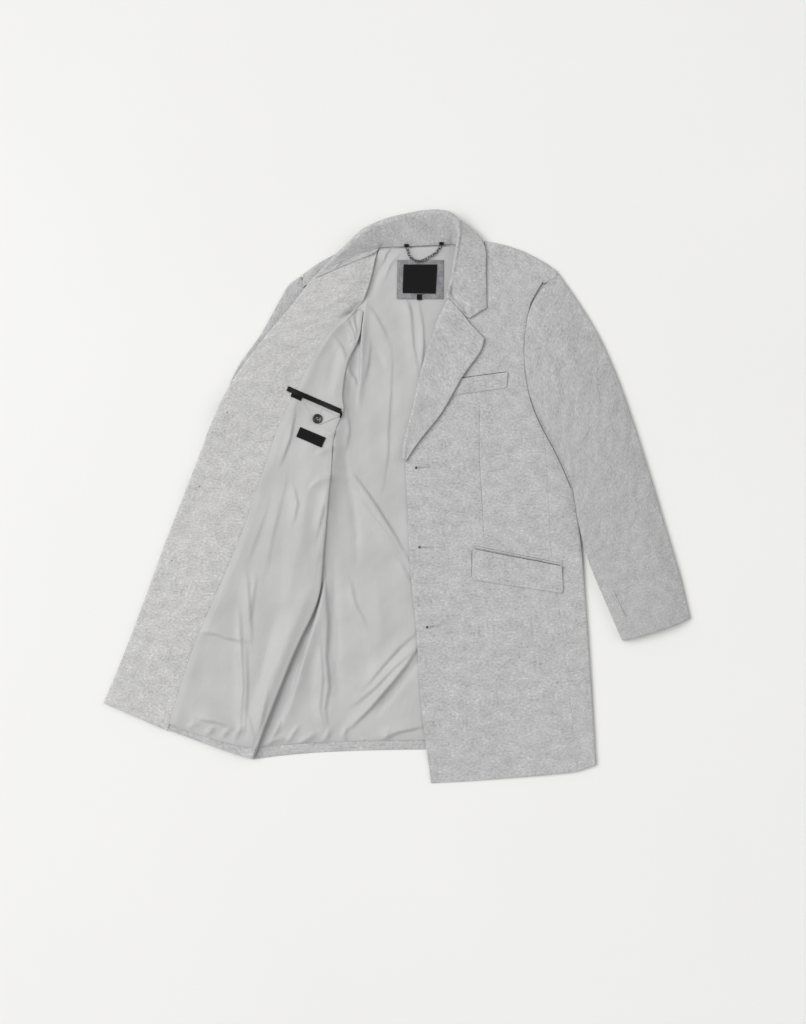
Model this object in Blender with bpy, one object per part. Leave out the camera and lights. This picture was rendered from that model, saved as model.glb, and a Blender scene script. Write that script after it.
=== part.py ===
"""Wool overcoat laid flat on its back, left front closed, right front turned open to the side.

Sizes are in millimetres and become metres when a mesh is made. +Z is up, the collar points to +Y, and
the coat rests on z = 0. Left and right are those of the person who wears the coat.
"""
import copy
import math

import bmesh
import bpy
import numpy as np

MM = 0.001

# Cloth walls and the air between pieces
WOOL = 2.0
DOUBLE = 3.0
LINING = 1.0
TRIM = 1.0
GAP = 0.4
SEAM = 0.5
HIDDEN_SEAM = 1.4
HEAD_SEAM = 0.9

# Middle of the outline as it was measured, moved to the origin
CENTRE_X = -2.5
CENTRE_Y = 1.3

# Height of the middle of the wall where the upper layer lies over the lower one
TABLE_LEVEL = WOOL / 2
UPPER_LEVEL = 6.8
PLEAT_LEVEL = 5.6
OPEN_LEVEL = 10.4

# Folds and rolls
FOLD_STEPS = 4
ROLL_RADIUS = 4.0
COLLAR_MIDDLE = (34.0, 344.0)
SLEEVE_TUCK = 14.0
SHOULDER_RISE = 13.0
PLEAT_LAP = 7.0
SIDE_LAP = 10.0
FRONT_INSET = 5.0
EDGE_INSET = 3.6

# Small parts
BUTTON_RADIUS = 12.5
BUTTON_HEIGHT = 4.0
INNER_BUTTON_RADIUS = 8.5
INNER_BUTTON_HEIGHT = 3.0
CHAIN_RADIUS = 1.6
CHAIN_TAB = (8.0, 5.0, 1.6)

# Board that keeps the heights of what lies on the table
BOARD_HALF = 600.0
BOARD_CELL = 3.0


def table(columns, *rows):
    """One array for each named column; the first entry of a row names the section."""
    names = columns.split()
    return {name: np.array([row[i + 1] for row in rows], float) for i, name in enumerate(names)}


BACK = table(
    "left_x left_y right_x right_y crown",
    ("shoulder", -167, 382, 276, 393, 60),
    ("blade", -150, 333, 249, 340, 34),
    ("armhole", -134, 265, 238, 274, 14),
    ("chest", -136, 195, 244, 195, 5),
    ("underarm", -144, 116, 258, 116, 0),
    ("waist", -151, 11, 262, 11, 0),
    ("hip", -162, -102, 274, -102, 4),
    ("thigh", -190, -260, 288, -269, 10),
    ("hem", -256, -456, 302, -452, 14),
)

SIDE_LEFT = table(
    "top_y fold_x fold_y low_x low_y",
    ("underarm", 126, 290, 124, 259, 124),
    ("waist", 46, 302, 29, 265, 22),
    ("hip", -95, 319, -87, 276, -94),
    ("pocket", -185, 326, -181, 284, -185),
    ("thigh", -312, 335, -312, 293, -321),
    ("hem", -477, 344, -466, 304, -452),
)

FRONT_LEFT = table(
    "edge_x edge_y edge_z side_x side_y side_z crown",
    ("shoulder", 125, 431, UPPER_LEVEL, 253, 377, UPPER_LEVEL, 0),
    ("neck", 115, 393, UPPER_LEVEL, 232, 339, UPPER_LEVEL, 0),
    ("gorge", 102, 349, UPPER_LEVEL, 221, 286, UPPER_LEVEL, 0),
    ("lapel", 74, 305, UPPER_LEVEL, 220, 239, UPPER_LEVEL, 0),
    ("chest", 55, 253, 6.5, 227, 190, UPPER_LEVEL, 0),
    ("welt", 36, 179, 6.0, 242, 143, UPPER_LEVEL, 0),
    ("break", 14, 88, 5.5, 256, 87, UPPER_LEVEL, 0),
    ("waist", 16, -31, 5.0, 263, -24, UPPER_LEVEL, 0),
    ("hip", 19, -111, 5.0, 268, -102, UPPER_LEVEL, 0),
    ("pocket", 30, -227, 5.0, 283, -207, UPPER_LEVEL, -2),
    ("thigh", 39, -360, 5.0, 300, -356, UPPER_LEVEL, -3),
    ("hem", 56, -501, TABLE_LEVEL, 312, -480, UPPER_LEVEL, -4),
)

LAPEL_LEFT = table(
    "roll_x roll_y edge_x edge_y",
    ("gorge", 86, 339, 150, 274),
    ("tip", 72, 314, 144, 255),
    ("upper", 56, 269, 113, 211),
    ("middle", 39, 214, 78, 150),
    ("lower", 24, 146, 43, 105),
    ("break", 9, 84, 20, 76),
)

FRONT_RIGHT = table(
    "edge_x edge_y edge_z side_x side_y side_z crown",
    ("gorge", -150, 377, 12.0, -38, 422, 9.0, 0),
    ("shoulder", -186, 332, 12.0, -58, 349, 6.0, 0),
    ("blade", -220, 291, 12.0, -68, 277, 6.0, 0),
    ("armhole", -258, 244, 10.0, -92, 239, 6.0, 0),
    ("chest", -298, 185, 8.0, -97, 179, 8.0, 0),
    ("underarm", -326, 130, 5.0, -102, 125, OPEN_LEVEL, 0),
    ("waist", -359, 39, 3.6, -111, 38, OPEN_LEVEL, 0),
    ("hip", -396, -76, 3.6, -125, -90, OPEN_LEVEL, 0),
    ("pocket", -434, -181, 3.6, -141, -181, OPEN_LEVEL, 0),
    ("thigh", -475, -277, 3.6, -185, -272, OPEN_LEVEL, -4),
    ("hem", -514, -361, 3.6, -253, -454, OPEN_LEVEL, -9),
)

FACING_RIGHT = table(
    "edge_x edge_y seam_x seam_y under",
    ("gorge", -150, 377, -40, 421, 80),
    ("collar", -178, 342, -54, 361, 90),
    ("shoulder", -207, 307, -71, 330, 88),
    ("blade", -232, 277, -113, 293, 74),
    ("armhole", -258, 244, -144, 248, 56),
    ("chest", -298, 185, -176, 185, 28),
    ("underarm", -326, 130, -204, 129, 12),
    ("waist", -359, 39, -237, 36, 9),
    ("hip", -396, -76, -277, -78, 9),
    ("pocket", -434, -181, -321, -181, 9),
    ("thigh", -475, -277, -361, -277, 9),
    ("hem", -514, -361, -403, -409, 9),
)

LINING_RIGHT = table(
    "seam_x seam_y side_x side_y crown",
    ("top", -72, 327, -62, 323, 0),
    ("blade", -112, 291, -70, 277, 0),
    ("armhole", -143, 246, -92, 239, 0),
    ("chest", -175, 185, -97, 179, 0),
    ("underarm", -203, 129, -103, 125, 0),
    ("waist", -236, 36, -111, 38, 0),
    ("hip", -276, -78, -125, -90, 0),
    ("pocket", -320, -181, -141, -181, 0),
    ("thigh", -360, -277, -185, -272, -3),
    ("hem", -401, -396, -252, -437, -5),
)

LINING_BACK = table(
    "left_x left_y right_x right_y crown",
    ("neck", -34, 430, 101, 436, 2),
    ("collar", -53, 388, 143, 393, 0),
    ("shoulder", -71, 344, 186, 340, 0),
    ("blade", -85, 283, 214, 283, 0),
    ("armhole", -108, 230, 222, 230, 0),
    ("chest", -116, 169, 234, 169, 0),
    ("underarm", -122, 116, 246, 116, 0),
    ("waist", -132, 29, 252, 29, 0),
    ("hip", -146, -94, 262, -94, 0),
    ("pocket", -162, -181, 270, -181, 2),
    ("thigh", -182, -269, 278, -269, 8),
    ("hem", -245, -438, 290, -433, 10),
)

SIDE_RIGHT = table(
    "fold_x fold_y",
    ("underarm", -100, 112),
    ("waist", -109, 38),
    ("hip", -123, -90),
    ("pocket", -139, -181),
    ("thigh", -183, -272),
    ("hem", -249, -452),
)

SLEEVE_LEFT = table(
    "outer_x outer_y outer_z inner_x inner_y inner_z rise bow",
    ("head", 277, 390, 1.0, 242, 146, 1.0, 6.0, 34),
    ("blade", 309, 346, 1.0, 263, 108, 9.4, 8.0, 24),
    ("chest", 344, 290, 1.0, 284, 67, 9.4, 10.0, 14),
    ("upper", 379, 214, 1.0, 302, 24, 9.4, 12.5, 7),
    ("elbow", 410, 127, 1.0, 313, -39, 9.4, 14.0, 3),
    ("lower", 440, 32, 1.0, 328, -99, 5.0, 14.5, 0),
    ("forearm", 466, -55, 1.0, 348, -151, 1.0, 15.0, 0),
    ("vent", 493, -146, 1.0, 372, -206, 1.0, 14.0, 0),
    ("cuff", 509, -213, 1.0, 391, -251, 1.0, 13.0, -2),
)

SLEEVE_RIGHT = table(
    "outer_x outer_y outer_z inner_x inner_y inner_z rise bow",
    ("head", -171, 380, 1.0, -162, 130, 1.0, 5.2, -16),
    ("blade", -206, 346, 1.0, -178, 99, 1.0, 5.6, -12),
    ("chest", -239, 284, 1.0, -196, 64, 1.0, 5.6, -8),
    ("upper", -284, 218, 1.0, -213, 22, 1.0, 5.6, -4),
    ("elbow", -314, 127, 1.0, -212, -41, 1.0, 5.6, 0),
    ("lower", -326, 32, 1.0, -215, -99, 1.0, 5.6, 0),
    ("forearm", -345, -55, 1.0, -228, -151, 1.0, 5.6, 0),
    ("vent", -368, -146, 1.0, -252, -206, 1.0, 5.6, 0),
    ("cuff", -383, -213, 1.0, -270, -251, 1.0, 5.6, 0),
)

COLLAR = table(
    "seam_x seam_y seam_z roll_x roll_y roll_z turn radius fall_x fall_y fall_z bow",
    ("gorge_right", -39, 427, 8.0, -148, 383, 13.5, 0, 3.0, -118, 399, 11.0, 0),
    ("front_right", -36, 433, 7.0, -120, 413, 15.0, 5, 3.6, -82, 416, 11.0, 0),
    ("side_right", -29, 436, 6.5, -92, 440, 17.0, 8, 4.5, -54, 441, 10.5, 0),
    ("turn_right", -17, 438, 6.0, -64, 466, 18.5, 10, 5.5, -36, 452, 6.0, 0),
    ("nape_right", -1, 439, 5.4, -25, 486, 19.0, 12, 6.0, -11, 457, 3.0, 0),
    ("nape_middle", 20, 440, 5.4, 13, 495, 20.0, 15, 6.0, 17, 459, 2.5, 0),
    ("nape_left", 45, 441, 5.4, 51, 501, 22.0, 20, 6.0, 48, 461, 2.5, 0),
    ("turn_left", 69, 442, 5.4, 73, 501, 24.0, 30, 6.0, 75, 464, 3.0, 0),
    ("rise_left", 85, 443, 6.5, 89, 496, 27.0, 50, 6.0, 97, 472, 4.0, 0),
    ("side_left", 99, 443, 8.0, 101, 482, 29.0, 85, 6.0, 118, 480, 7.0, 0),
    ("leaf_back", 111, 436, 8.0, 104, 462, 27.0, 115, 5.5, 138, 462, 12.0, 0),
    ("leaf_top", 115, 416, 7.0, 101, 433, 24.0, 135, 5.0, 153, 438, 12.0, 0),
    ("leaf_middle", 107, 384, 7.0, 94, 394, 20.0, 150, 4.5, 155, 391, 12.0, -4),
    ("gorge_left", 96, 352, 7.0, 86, 348, 16.0, 155, 4.0, 157, 330, 12.0, -24),
)

# Folds of the lining: a soft ridge from one end to the other
LINING_FOLDS = table(
    "from_x from_y to_x to_y width height",
    ("waist diagonal", -90, 34, -32, -41, 12, 5),
    ("waist lower", -32, -41, 18, -107, 11, 5),
    ("hem deep", 34, -265, -54, -372, 14, 9),
    ("hem deep end", -54, -372, -84, -405, 12, 6),
    ("hem upper", 19, -245, -54, -325, 11, 5),
    ("left drop", -120, -185, -126, -395, 12, 4),
    ("neck fold", 18, 336, 34, 228, 10, 3),
    ("armhole fold", -44, 323, -57, 210, 11, 3),
    ("centre pleat", -12, 243, -24, 30, 9, 2),
    ("hem pleat", -85, -416, 30, -404, 8, 2),
)

RIGHT_LINING_FOLDS = table(
    "from_x from_y to_x to_y width height",
    ("facing pleat", -183, 150, -196, 90, 9, 2),
    ("top fold", -96, 316, -78, 290, 8, 2),
    ("middle drop", -259, -112, -254, -255, 12, 2),
    ("lower drop", -272, -255, -275, -410, 10, 2),
    ("cross crease", -338, -230, -287, -242, 9, 2),
    ("hem crease", -345, -385, -285, -402, 9, 2),
)

# Flat trims: the corners go round from the upper left one
TRIMS = table(
    "x0 y0 x1 y1 x2 y2 x3 y3 wall",
    ("welt_chest", 96, 204, 191, 217, 189, 190, 94, 177, WOOL),
    ("jet_hip", 130, -81, 286, -112, 285, -119, 130, -88, 1.4),
    ("flap_hip", 130, -90, 285, -121, 288, -169, 128, -145, WOOL),
    ("patch_neck", -2, 413, 79, 413, 78, 345, -3, 345, 1.2),
    ("label_neck", 9, 405, 68, 405, 65, 354, 7, 355, 0.8),
    ("tab_size", 32, 353, 41, 353, 41, 343, 32, 343, 0.8),
    ("welt_inner", -192, 192, -99, 152, -102, 144, -195, 184, 1.6),
    ("tag_inner", -184, 177, -167, 170, -170, 163, -187, 170, 0.8),
    ("label_inner", -171, 121, -126, 102, -134, 85, -178, 104, 0.8),
)
TRIM_NAMES = ("welt_chest", "jet_hip", "flap_hip", "patch_neck", "label_neck", "tab_size",
              "welt_inner", "tag_inner", "label_inner")
TAB_INNER = ((-164, 165), (-103, 139), (-141, 123))

BUTTONS = table(
    "x y radius height",
    ("button_front_1", -298, 146, BUTTON_RADIUS, BUTTON_HEIGHT),
    ("button_front_2", -349, 17, BUTTON_RADIUS, BUTTON_HEIGHT),
    ("button_front_3", -386, -112, BUTTON_RADIUS, BUTTON_HEIGHT),
    ("button_inner", -141, 135, INNER_BUTTON_RADIUS, INNER_BUTTON_HEIGHT),
)
BUTTON_NAMES = ("button_front_1", "button_front_2", "button_front_3", "button_inner")

CHAIN = table(
    "path_x path_y",
    ("left end", 14.5, 433.6),
    ("left drop", 22, 416),
    ("low", 36, 410),
    ("right drop", 51, 416),
    ("right rise", 67, 427),
    ("right end", 73.6, 435.8),
)
CHAIN_TABS = table("x y", ("chain_tab_left", 14, 436.6), ("chain_tab_right", 75, 439.4))

COLOURS = {
    "wool": (0.48, 0.47, 0.46),
    "satin": (0.54, 0.54, 0.53),
    "black": (0.02, 0.02, 0.022),
    "felt": (0.26, 0.26, 0.28),
    "steel": (0.55, 0.55, 0.56),
}


# Tables to even rows

def smooth(values, knots, at):
    """Cubic curve through the values at the knots, read at other places."""
    slope = np.gradient(values, knots)
    i = np.clip(np.searchsorted(knots, at, side="right") - 1, 0, len(knots) - 2)
    width = knots[i + 1] - knots[i]
    s = (at - knots[i]) / width
    start = (1 + 2 * s) * (1 - s) ** 2 * values[i] + s * (1 - s) ** 2 * width * slope[i]
    end = s * s * (3 - 2 * s) * values[i + 1] + s * s * (s - 1) * width * slope[i + 1]
    return start + end


def even(tab, lead, rows):
    """The table read at evenly spaced rows along the line named lead."""
    steps = np.hypot(np.diff(tab[lead + "_x"]), np.diff(tab[lead + "_y"]))
    knots = np.concatenate([[0.0], np.cumsum(steps)])
    at = np.linspace(0.0, knots[-1], rows)
    return {name: smooth(values, knots, at) for name, values in tab.items()}


def line(tab, name, level=None):
    """Points of one named line; level gives a height to lines without one."""
    z = tab[name + "_z"] if level is None else np.full_like(tab[name + "_x"], level)
    return np.stack([tab[name + "_x"], tab[name + "_y"], z], axis=-1)


# Grids of points

def leg(start, end, steps):
    """Straight rows of points from start to end."""
    s = np.linspace(0.0, 1.0, steps + 1)[None, :, None]
    return start[:, None, :] * (1 - s) + end[:, None, :] * s


def unit(vectors):
    return vectors / np.linalg.norm(vectors, axis=-1, keepdims=True)


def bowed(grid, bow, power=3.0):
    """Move the middle of each row sideways by its bow, none at the two ends."""
    v = np.linspace(0.0, 1.0, grid.shape[1])
    shape = 1.0 - np.abs(2.0 * v - 1.0) ** power
    across = unit(grid[:, -1, :2] - grid[:, 0, :2])
    side = np.stack([-across[:, 1], across[:, 0]], axis=-1)
    moved = grid.copy()
    moved[..., :2] += side[:, None, :] * (bow[:, None] * shape[None, :])[..., None]
    return moved


def inset(edge, inner, amount):
    """Points of edge moved towards inner on the plan."""
    moved = edge.copy()
    moved[:, :2] += unit(inner[:, :2] - edge[:, :2]) * np.broadcast_to(amount, (len(edge),))[:, None]
    return moved


def at_level(points, level):
    moved = points.copy()
    moved[..., 2] = level
    return moved


def join_round(first, second, tip, steps=FOLD_STEPS):
    """Join two layers round a roll whose outermost points are tip."""
    middle = (first[:, -1] + second[:, 0]) / 2
    half = (second[:, 0] - first[:, -1]) / 2
    out = tip - middle
    angles = np.linspace(-math.pi / 2, math.pi / 2, steps + 2)[1:-1]
    turn = [middle + half * math.sin(a) + out * math.cos(a) for a in angles]
    return np.concatenate([first, np.stack(turn, axis=1), second], axis=1)


def join_fold(low, high, edge):
    """Join two layers round a level fold line: low ends and high starts beside it."""
    tip = edge.copy()
    tip[:, 2] = (low[:, -1, 2] + high[:, 0, 2]) / 2
    return join_round(low, high, tip)


def refine(grid, step):
    """The same surface with its points no more than step apart."""
    for axis in (0, 1):
        gaps = np.linalg.norm(np.diff(grid, axis=axis), axis=-1)
        parts = max(1, int(np.ceil(gaps.max() / step)))
        count = grid.shape[axis]
        at = np.linspace(0.0, count - 1, (count - 1) * parts + 1)
        low = np.minimum(at.astype(int), count - 2)
        s = (at - low)[:, None, None] if axis == 0 else (at - low)[None, :, None]
        grid = np.take(grid, low, axis) * (1 - s) + np.take(grid, low + 1, axis) * s
    return grid


def folds(grid, tab):
    """Height of soft ridges at the points of a grid."""
    height = np.zeros(grid.shape[:2])
    for i in range(len(tab["width"])):
        start = np.array([tab["from_x"][i], tab["from_y"][i]])
        run = np.array([tab["to_x"][i], tab["to_y"][i]]) - start
        offset = grid[..., :2] - start
        s = np.clip((offset @ run) / (run @ run), 0.0, 1.0)
        away = np.linalg.norm(offset - s[..., None] * run, axis=-1)
        taper = np.sin(math.pi * (0.12 + 0.76 * s))
        height = np.maximum(height, tab["height"][i] * taper * np.exp(-(away / tab["width"][i]) ** 2))
    return height


# Heights of the layers

class Board:
    """Heights of all that lies on the table so far."""

    def __init__(self):
        count = int(2 * BOARD_HALF / BOARD_CELL) + 1
        self.height = np.zeros((count, count))

    def cell(self, points):
        i = np.rint((points[..., 0] + BOARD_HALF) / BOARD_CELL).astype(int)
        j = np.rint((points[..., 1] + BOARD_HALF) / BOARD_CELL).astype(int)
        return i, j

    def cover(self, grid, half_wall):
        """Raise the board to the upper side of a layer."""
        dense = refine(grid, BOARD_CELL / 2)
        np.maximum.at(self.height, self.cell(dense), dense[..., 2] + half_wall)

    def below(self, points, reach):
        """Highest thing within reach of each point."""
        cells = int(math.ceil(reach / BOARD_CELL))
        wide = self.height.copy()
        for i in range(-cells, cells + 1):
            for j in range(-cells, cells + 1):
                if i * i + j * j <= cells * cells:
                    wide = np.maximum(wide, np.roll(self.height, (i, j), (0, 1)))
        return wide[self.cell(points)]

    def lay(self, grid, wall, reach, ease=3):
        """Raise a grid until its lower side clears what it lies on, then ease the steps."""
        laid = grid.copy()
        under = self.below(grid, reach)
        floor = under + np.where(under > 0.0, GAP, 0.0) + wall / 2
        laid[..., 2] = np.maximum(grid[..., 2], floor)
        for _ in range(ease):
            laid[..., 2] = np.maximum(laid[..., 2], neighbour_mean(laid[..., 2]))
        return laid


def neighbour_mean(z):
    padded = np.pad(z, 1, mode="edge")
    return (padded[:-2, 1:-1] + padded[2:, 1:-1] + padded[1:-1, :-2] + padded[1:-1, 2:]) / 4


# Solids

def material(kind):
    mat = bpy.data.materials.new(kind)
    mat.use_nodes = True
    shader = mat.node_tree.nodes["Principled BSDF"]
    shader.inputs["Base Color"].default_value = (*COLOURS[kind], 1.0)
    shader.inputs["Roughness"].default_value = 0.35 if kind in ("steel", "satin") else 0.9
    shader.inputs["Metallic"].default_value = 1.0 if kind == "steel" else 0.0
    return mat


def add_object(name, points, faces, kind):
    """One closed mesh, its faces turned outwards."""
    mesh = bpy.data.meshes.new(name)
    placed = (np.asarray(points, float) - np.array([CENTRE_X, CENTRE_Y, 0.0])) * MM
    mesh.from_pydata([tuple(p) for p in placed], [], faces)
    built = bmesh.new()
    built.from_mesh(mesh)
    bmesh.ops.recalc_face_normals(built, faces=built.faces[:])
    built.to_mesh(mesh)
    built.free()
    mesh.materials.append(material(kind))
    obj = bpy.data.objects.new(name, mesh)
    bpy.context.scene.collection.objects.link(obj)
    return obj


def quads(present):
    """Corner numbers of every square of a grid whose four points are present."""
    rows, cols = present.shape
    number = np.arange(rows * cols).reshape(rows, cols)
    found = []
    for i in range(rows - 1):
        for j in range(cols - 1):
            if present[i:i + 2, j:j + 2].all():
                found.append((number[i, j], number[i, j + 1], number[i + 1, j + 1], number[i + 1, j]))
    return [tuple(int(n) for n in face) for face in found]


def wall_sides(grid, wall):
    """The two faces of a wall with the grid in its middle."""
    along = np.gradient(grid, axis=0)
    across = np.gradient(grid, axis=1)
    normal = unit(np.cross(along, across))
    return grid + normal * wall / 2, grid - normal * wall / 2


def sheet(name, grid, wall, kind="wool", present=None):
    """A cloth piece: a wall of even thickness round a grid of points."""
    present = np.ones(grid.shape[:2], bool) if present is None else present
    one, other = wall_sides(grid, wall)
    count = grid.shape[0] * grid.shape[1]
    faces = quads(present)
    uses = {}
    for face in faces:
        for a, b in zip(face, face[1:] + face[:1]):
            uses.setdefault((min(a, b), max(a, b)), []).append((a, b))
    rim = [pairs[0] for pairs in uses.values() if len(pairs) == 1]
    everything = list(faces)
    everything += [tuple(n + count for n in reversed(face)) for face in faces]
    everything += [(b, a, a + count, b + count) for a, b in rim]
    points = np.concatenate([one.reshape(-1, 3), other.reshape(-1, 3)])
    used = sorted({n for face in everything for n in face})
    place = {n: i for i, n in enumerate(used)}
    return add_object(name, points[used], [tuple(place[n] for n in f) for f in everything], kind)


def ring_solid(name, rings, kind):
    """A solid through closed rings of points, capped at both ends."""
    rows, sides = len(rings), len(rings[0])
    points = np.concatenate(rings)
    faces = [tuple(range(sides)), tuple(range((rows - 1) * sides, rows * sides))]
    for i in range(rows - 1):
        for j in range(sides):
            k = (j + 1) % sides
            faces.append((i * sides + j, i * sides + k, (i + 1) * sides + k, (i + 1) * sides + j))
    return add_object(name, points, faces, kind)


# Wool body

def make_back(board):
    tab = even(BACK, "left", 15)
    columns = 19
    flat = bowed(leg(line(tab, "left", TABLE_LEVEL), line(tab, "right", TABLE_LEVEL), columns - 1), tab["crown"])
    fold_line = flat[0].copy()
    start = fold_line.copy()
    start[:, 1] -= ROLL_RADIUS
    flat[0] = start
    seam = shoulder_seam(fold_line[:, 0])
    high = np.stack([at_level(start, UPPER_LEVEL), at_level(start, UPPER_LEVEL)], axis=1)
    high[:, 1, 1] = np.minimum(seam + SEAM, start[:, 1] - 2.0)
    strip = join_fold(start[:, None, :], high, fold_line)
    grid = np.concatenate([strip.transpose(1, 0, 2)[:0:-1], flat], axis=0)
    present = np.ones(grid.shape[:2], bool)
    present[:strip.shape[1] - 1, 5:13] = False
    sheet("back", grid, WOOL, present=present)
    board.cover(flat, WOOL / 2)
    strips = strip.transpose(1, 0, 2)
    return flat, (strips[:, :5], strips[:, 13:])


def shoulder_seam(x):
    """Y of the two shoulder seams, which are mirrored about the middle of the back."""
    middle = (BACK["left_x"][0] + BACK["right_x"][0]) / 2
    away = np.abs(x - middle)
    near, far = FRONT_LEFT["edge_x"][0] - middle, FRONT_LEFT["side_x"][0] - middle
    tip = BACK["right_x"][0] - middle
    top, low = FRONT_LEFT["edge_y"][0], FRONT_LEFT["side_y"][0]
    slope = (low - top) / (far - near)
    return np.where(away < far, top + slope * (away - near), low + SHOULDER_RISE * (away - far) / (tip - far))


def make_lining_back(board):
    tab = even(LINING_BACK, "left", 30)
    grid = bowed(leg(line(tab, "left", 0.0), line(tab, "right", 0.0), 14), tab["crown"])
    laid = board.lay(grid, LINING, 6.0)
    laid[..., 2] += folds(grid, LINING_FOLDS)
    sheet("lining_back", laid, LINING, "satin")
    board.cover(laid, LINING / 2)


def beside(points, edge, gap):
    """X of an edge at the height of each point on the plan, moved sideways by a gap."""
    order = np.argsort(edge[:, 1])
    return np.interp(points[..., 1], edge[order, 1], edge[order, 0]) + gap


def make_side_left(board, back, front):
    rows = front[front[:, -1, 1] < SIDE_LEFT["top_y"][0], -1]
    tab = {name: smooth(values, -SIDE_LEFT["top_y"], -rows[:, 1]) for name, values in SIDE_LEFT.items()}
    radius = (UPPER_LEVEL - TABLE_LEVEL) / 2
    fold = line(tab, "fold", TABLE_LEVEL)
    low_end = line(tab, "low", TABLE_LEVEL)
    low_end[:, 0] = beside(low_end, back[:, -1], HIDDEN_SEAM)
    top_end = rows + np.array([SEAM, 0.0, 0.0])
    low = leg(low_end, inset(fold, low_end, radius), 1)
    high = leg(inset(at_level(fold, UPPER_LEVEL), top_end, radius), top_end, 2)
    grid = join_fold(low, high, fold)
    sheet("side_left", grid, WOOL)
    board.cover(grid, WOOL / 2)
    return grid


def make_front_left(board):
    tab = even(FRONT_LEFT, "edge", 22)
    edge, side = line(tab, "edge"), line(tab, "side")
    grid = bowed(leg(inset(edge, side, ROLL_RADIUS), side, 10), tab["crown"])
    grid = board.lay(grid, WOOL, 14.0)
    sheet("front_left", grid, WOOL)
    board.cover(grid, WOOL / 2)
    return grid


def make_side_right(board, back):
    tab = even(SIDE_RIGHT, "fold", 12)
    outer = line(tab, "fold", TABLE_LEVEL)
    low_radius = (PLEAT_LEVEL - TABLE_LEVEL) / 2
    top_radius = (OPEN_LEVEL - PLEAT_LEVEL) / 2
    back_edge = outer.copy()
    back_edge[:, 0] = beside(outer, back[:, 0], -SEAM)
    hidden = back_edge.copy()
    hidden[:, 0] -= PLEAT_LAP
    low = leg(back_edge, inset(hidden, outer, low_radius), 1)
    middle = leg(at_level(inset(hidden, outer, low_radius), PLEAT_LEVEL),
                 at_level(inset(outer, hidden, top_radius), PLEAT_LEVEL), 2)
    high = leg(at_level(inset(outer, hidden, top_radius), OPEN_LEVEL),
               at_level(inset(outer, hidden, SIDE_LAP), OPEN_LEVEL), 1)
    grid = join_fold(join_fold(low, middle, hidden), high, outer)
    sheet("side_right", grid, WOOL)
    board.cover(grid, WOOL / 2)


# Sleeves

def sleeve_top_grid(tab):
    """Upper part of a sleeve that turns round both edges and ends a little way in underneath."""
    outer, inner, rise = line(tab, "outer"), line(tab, "inner"), tab["rise"]
    lift = np.zeros_like(outer)
    lift[:, 2] = rise
    near = leg(inset(inner, outer, SLEEVE_TUCK), inset(inner, outer, rise / 2), 1)
    over = leg(inset(inner, outer, rise / 2) + lift, inset(outer, inner, rise / 2) + lift, 6)
    far = leg(inset(outer, inner, rise / 2), inset(outer, inner, SLEEVE_TUCK), 1)
    first = join_fold(near, over, inner)
    back = join_fold(far[:, ::-1], first[:, ::-1], outer)
    return back[:, ::-1]


def shaped_sleeve(grid, tab):
    """Bow the rows of a sleeve grid towards the armhole."""
    outer, inner = line(tab, "outer")[:, :2], line(tab, "inner")[:, :2]
    run = outer - inner
    v = np.einsum("rck,rk->rc", grid[..., :2] - inner[:, None, :], run) / (run * run).sum(-1)[:, None]
    side = unit(np.stack([-run[:, 1], run[:, 0]], axis=-1))
    amount = tab["bow"][:, None] * (1 - np.clip(np.abs(2 * v - 1), 0, 1) ** 2.5)
    moved = grid.copy()
    moved[..., :2] += side[:, None, :] * amount[..., None]
    return moved


def meet(grid, low_edge, top_edge, low_gap, top_gap, rows=4):
    """Ease the head of a sleeve so that it meets the armhole edges of the lower and the upper layer."""
    head = grid[0]
    level = head[:, 2]
    share = np.clip((level - level.min() - WOOL) / max(level.max() - level.min() - WOOL, 1.0), 0.0, 1.0)
    target = (1 - share) * beside(head, low_edge, low_gap) + share * beside(head, top_edge, top_gap)
    eased = grid.copy()
    for row in range(rows):
        eased[row, :, 0] += (target - head[:, 0]) * (1 - row / rows) ** 2
    return eased


def make_sleeve(side, tab, board, rest, low_edge, top_edge, away):
    """A sleeve of two pieces: a flat under sleeve and a top sleeve turned round both edges."""
    outer, inner = line(tab, "outer"), line(tab, "inner")
    tuck = SLEEVE_TUCK + (2 * HIDDEN_SEAM if side == "left" else SEAM)
    low_gap, top_gap = 2 * HIDDEN_SEAM * away, HEAD_SEAM * away
    under = leg(inset(inner, outer, tuck), inset(outer, inner, tuck), 5)
    under = meet(shaped_sleeve(under, tab), low_edge, low_edge, low_gap, low_gap)
    under = rest.lay(under, WOOL, 22.0, ease=0)
    top = meet(shaped_sleeve(sleeve_top_grid(tab), tab), low_edge, top_edge, low_gap, top_gap)
    top = rest.lay(top, WOOL, 22.0, ease=0)
    sheet("sleeve_%s_under" % side, under, WOOL)
    sheet("sleeve_%s_top" % side, top, WOOL)
    board.cover(under, WOOL / 2)
    board.cover(top, WOOL / 2)


# Right front, inside up

def make_right_front(board):
    """Front, facing and lining of the opened side, laid one on the other."""
    tab = even(FACING_RIGHT, "edge", 26)
    edge, seam = line(tab, "edge", TABLE_LEVEL), line(tab, "seam", TABLE_LEVEL)
    low = leg(inset(edge, seam, tab["under"]), inset(edge, seam, EDGE_INSET), 4)
    low = board.lay(low, WOOL, 20.0)
    board.cover(low, WOOL / 2)
    front = make_front_right(board)
    for name in BUTTON_NAMES[:3]:
        make_button(name, button_base((front, low), name))
    high = leg(inset(edge, seam, EDGE_INSET), seam, 5)
    high = board.lay(high, WOOL, 18.0)
    grid = join_fold(low, high, edge)
    sheet("facing_right", grid, WOOL)
    make_lining_right(board, seam)
    board.cover(high, WOOL / 2)


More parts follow.
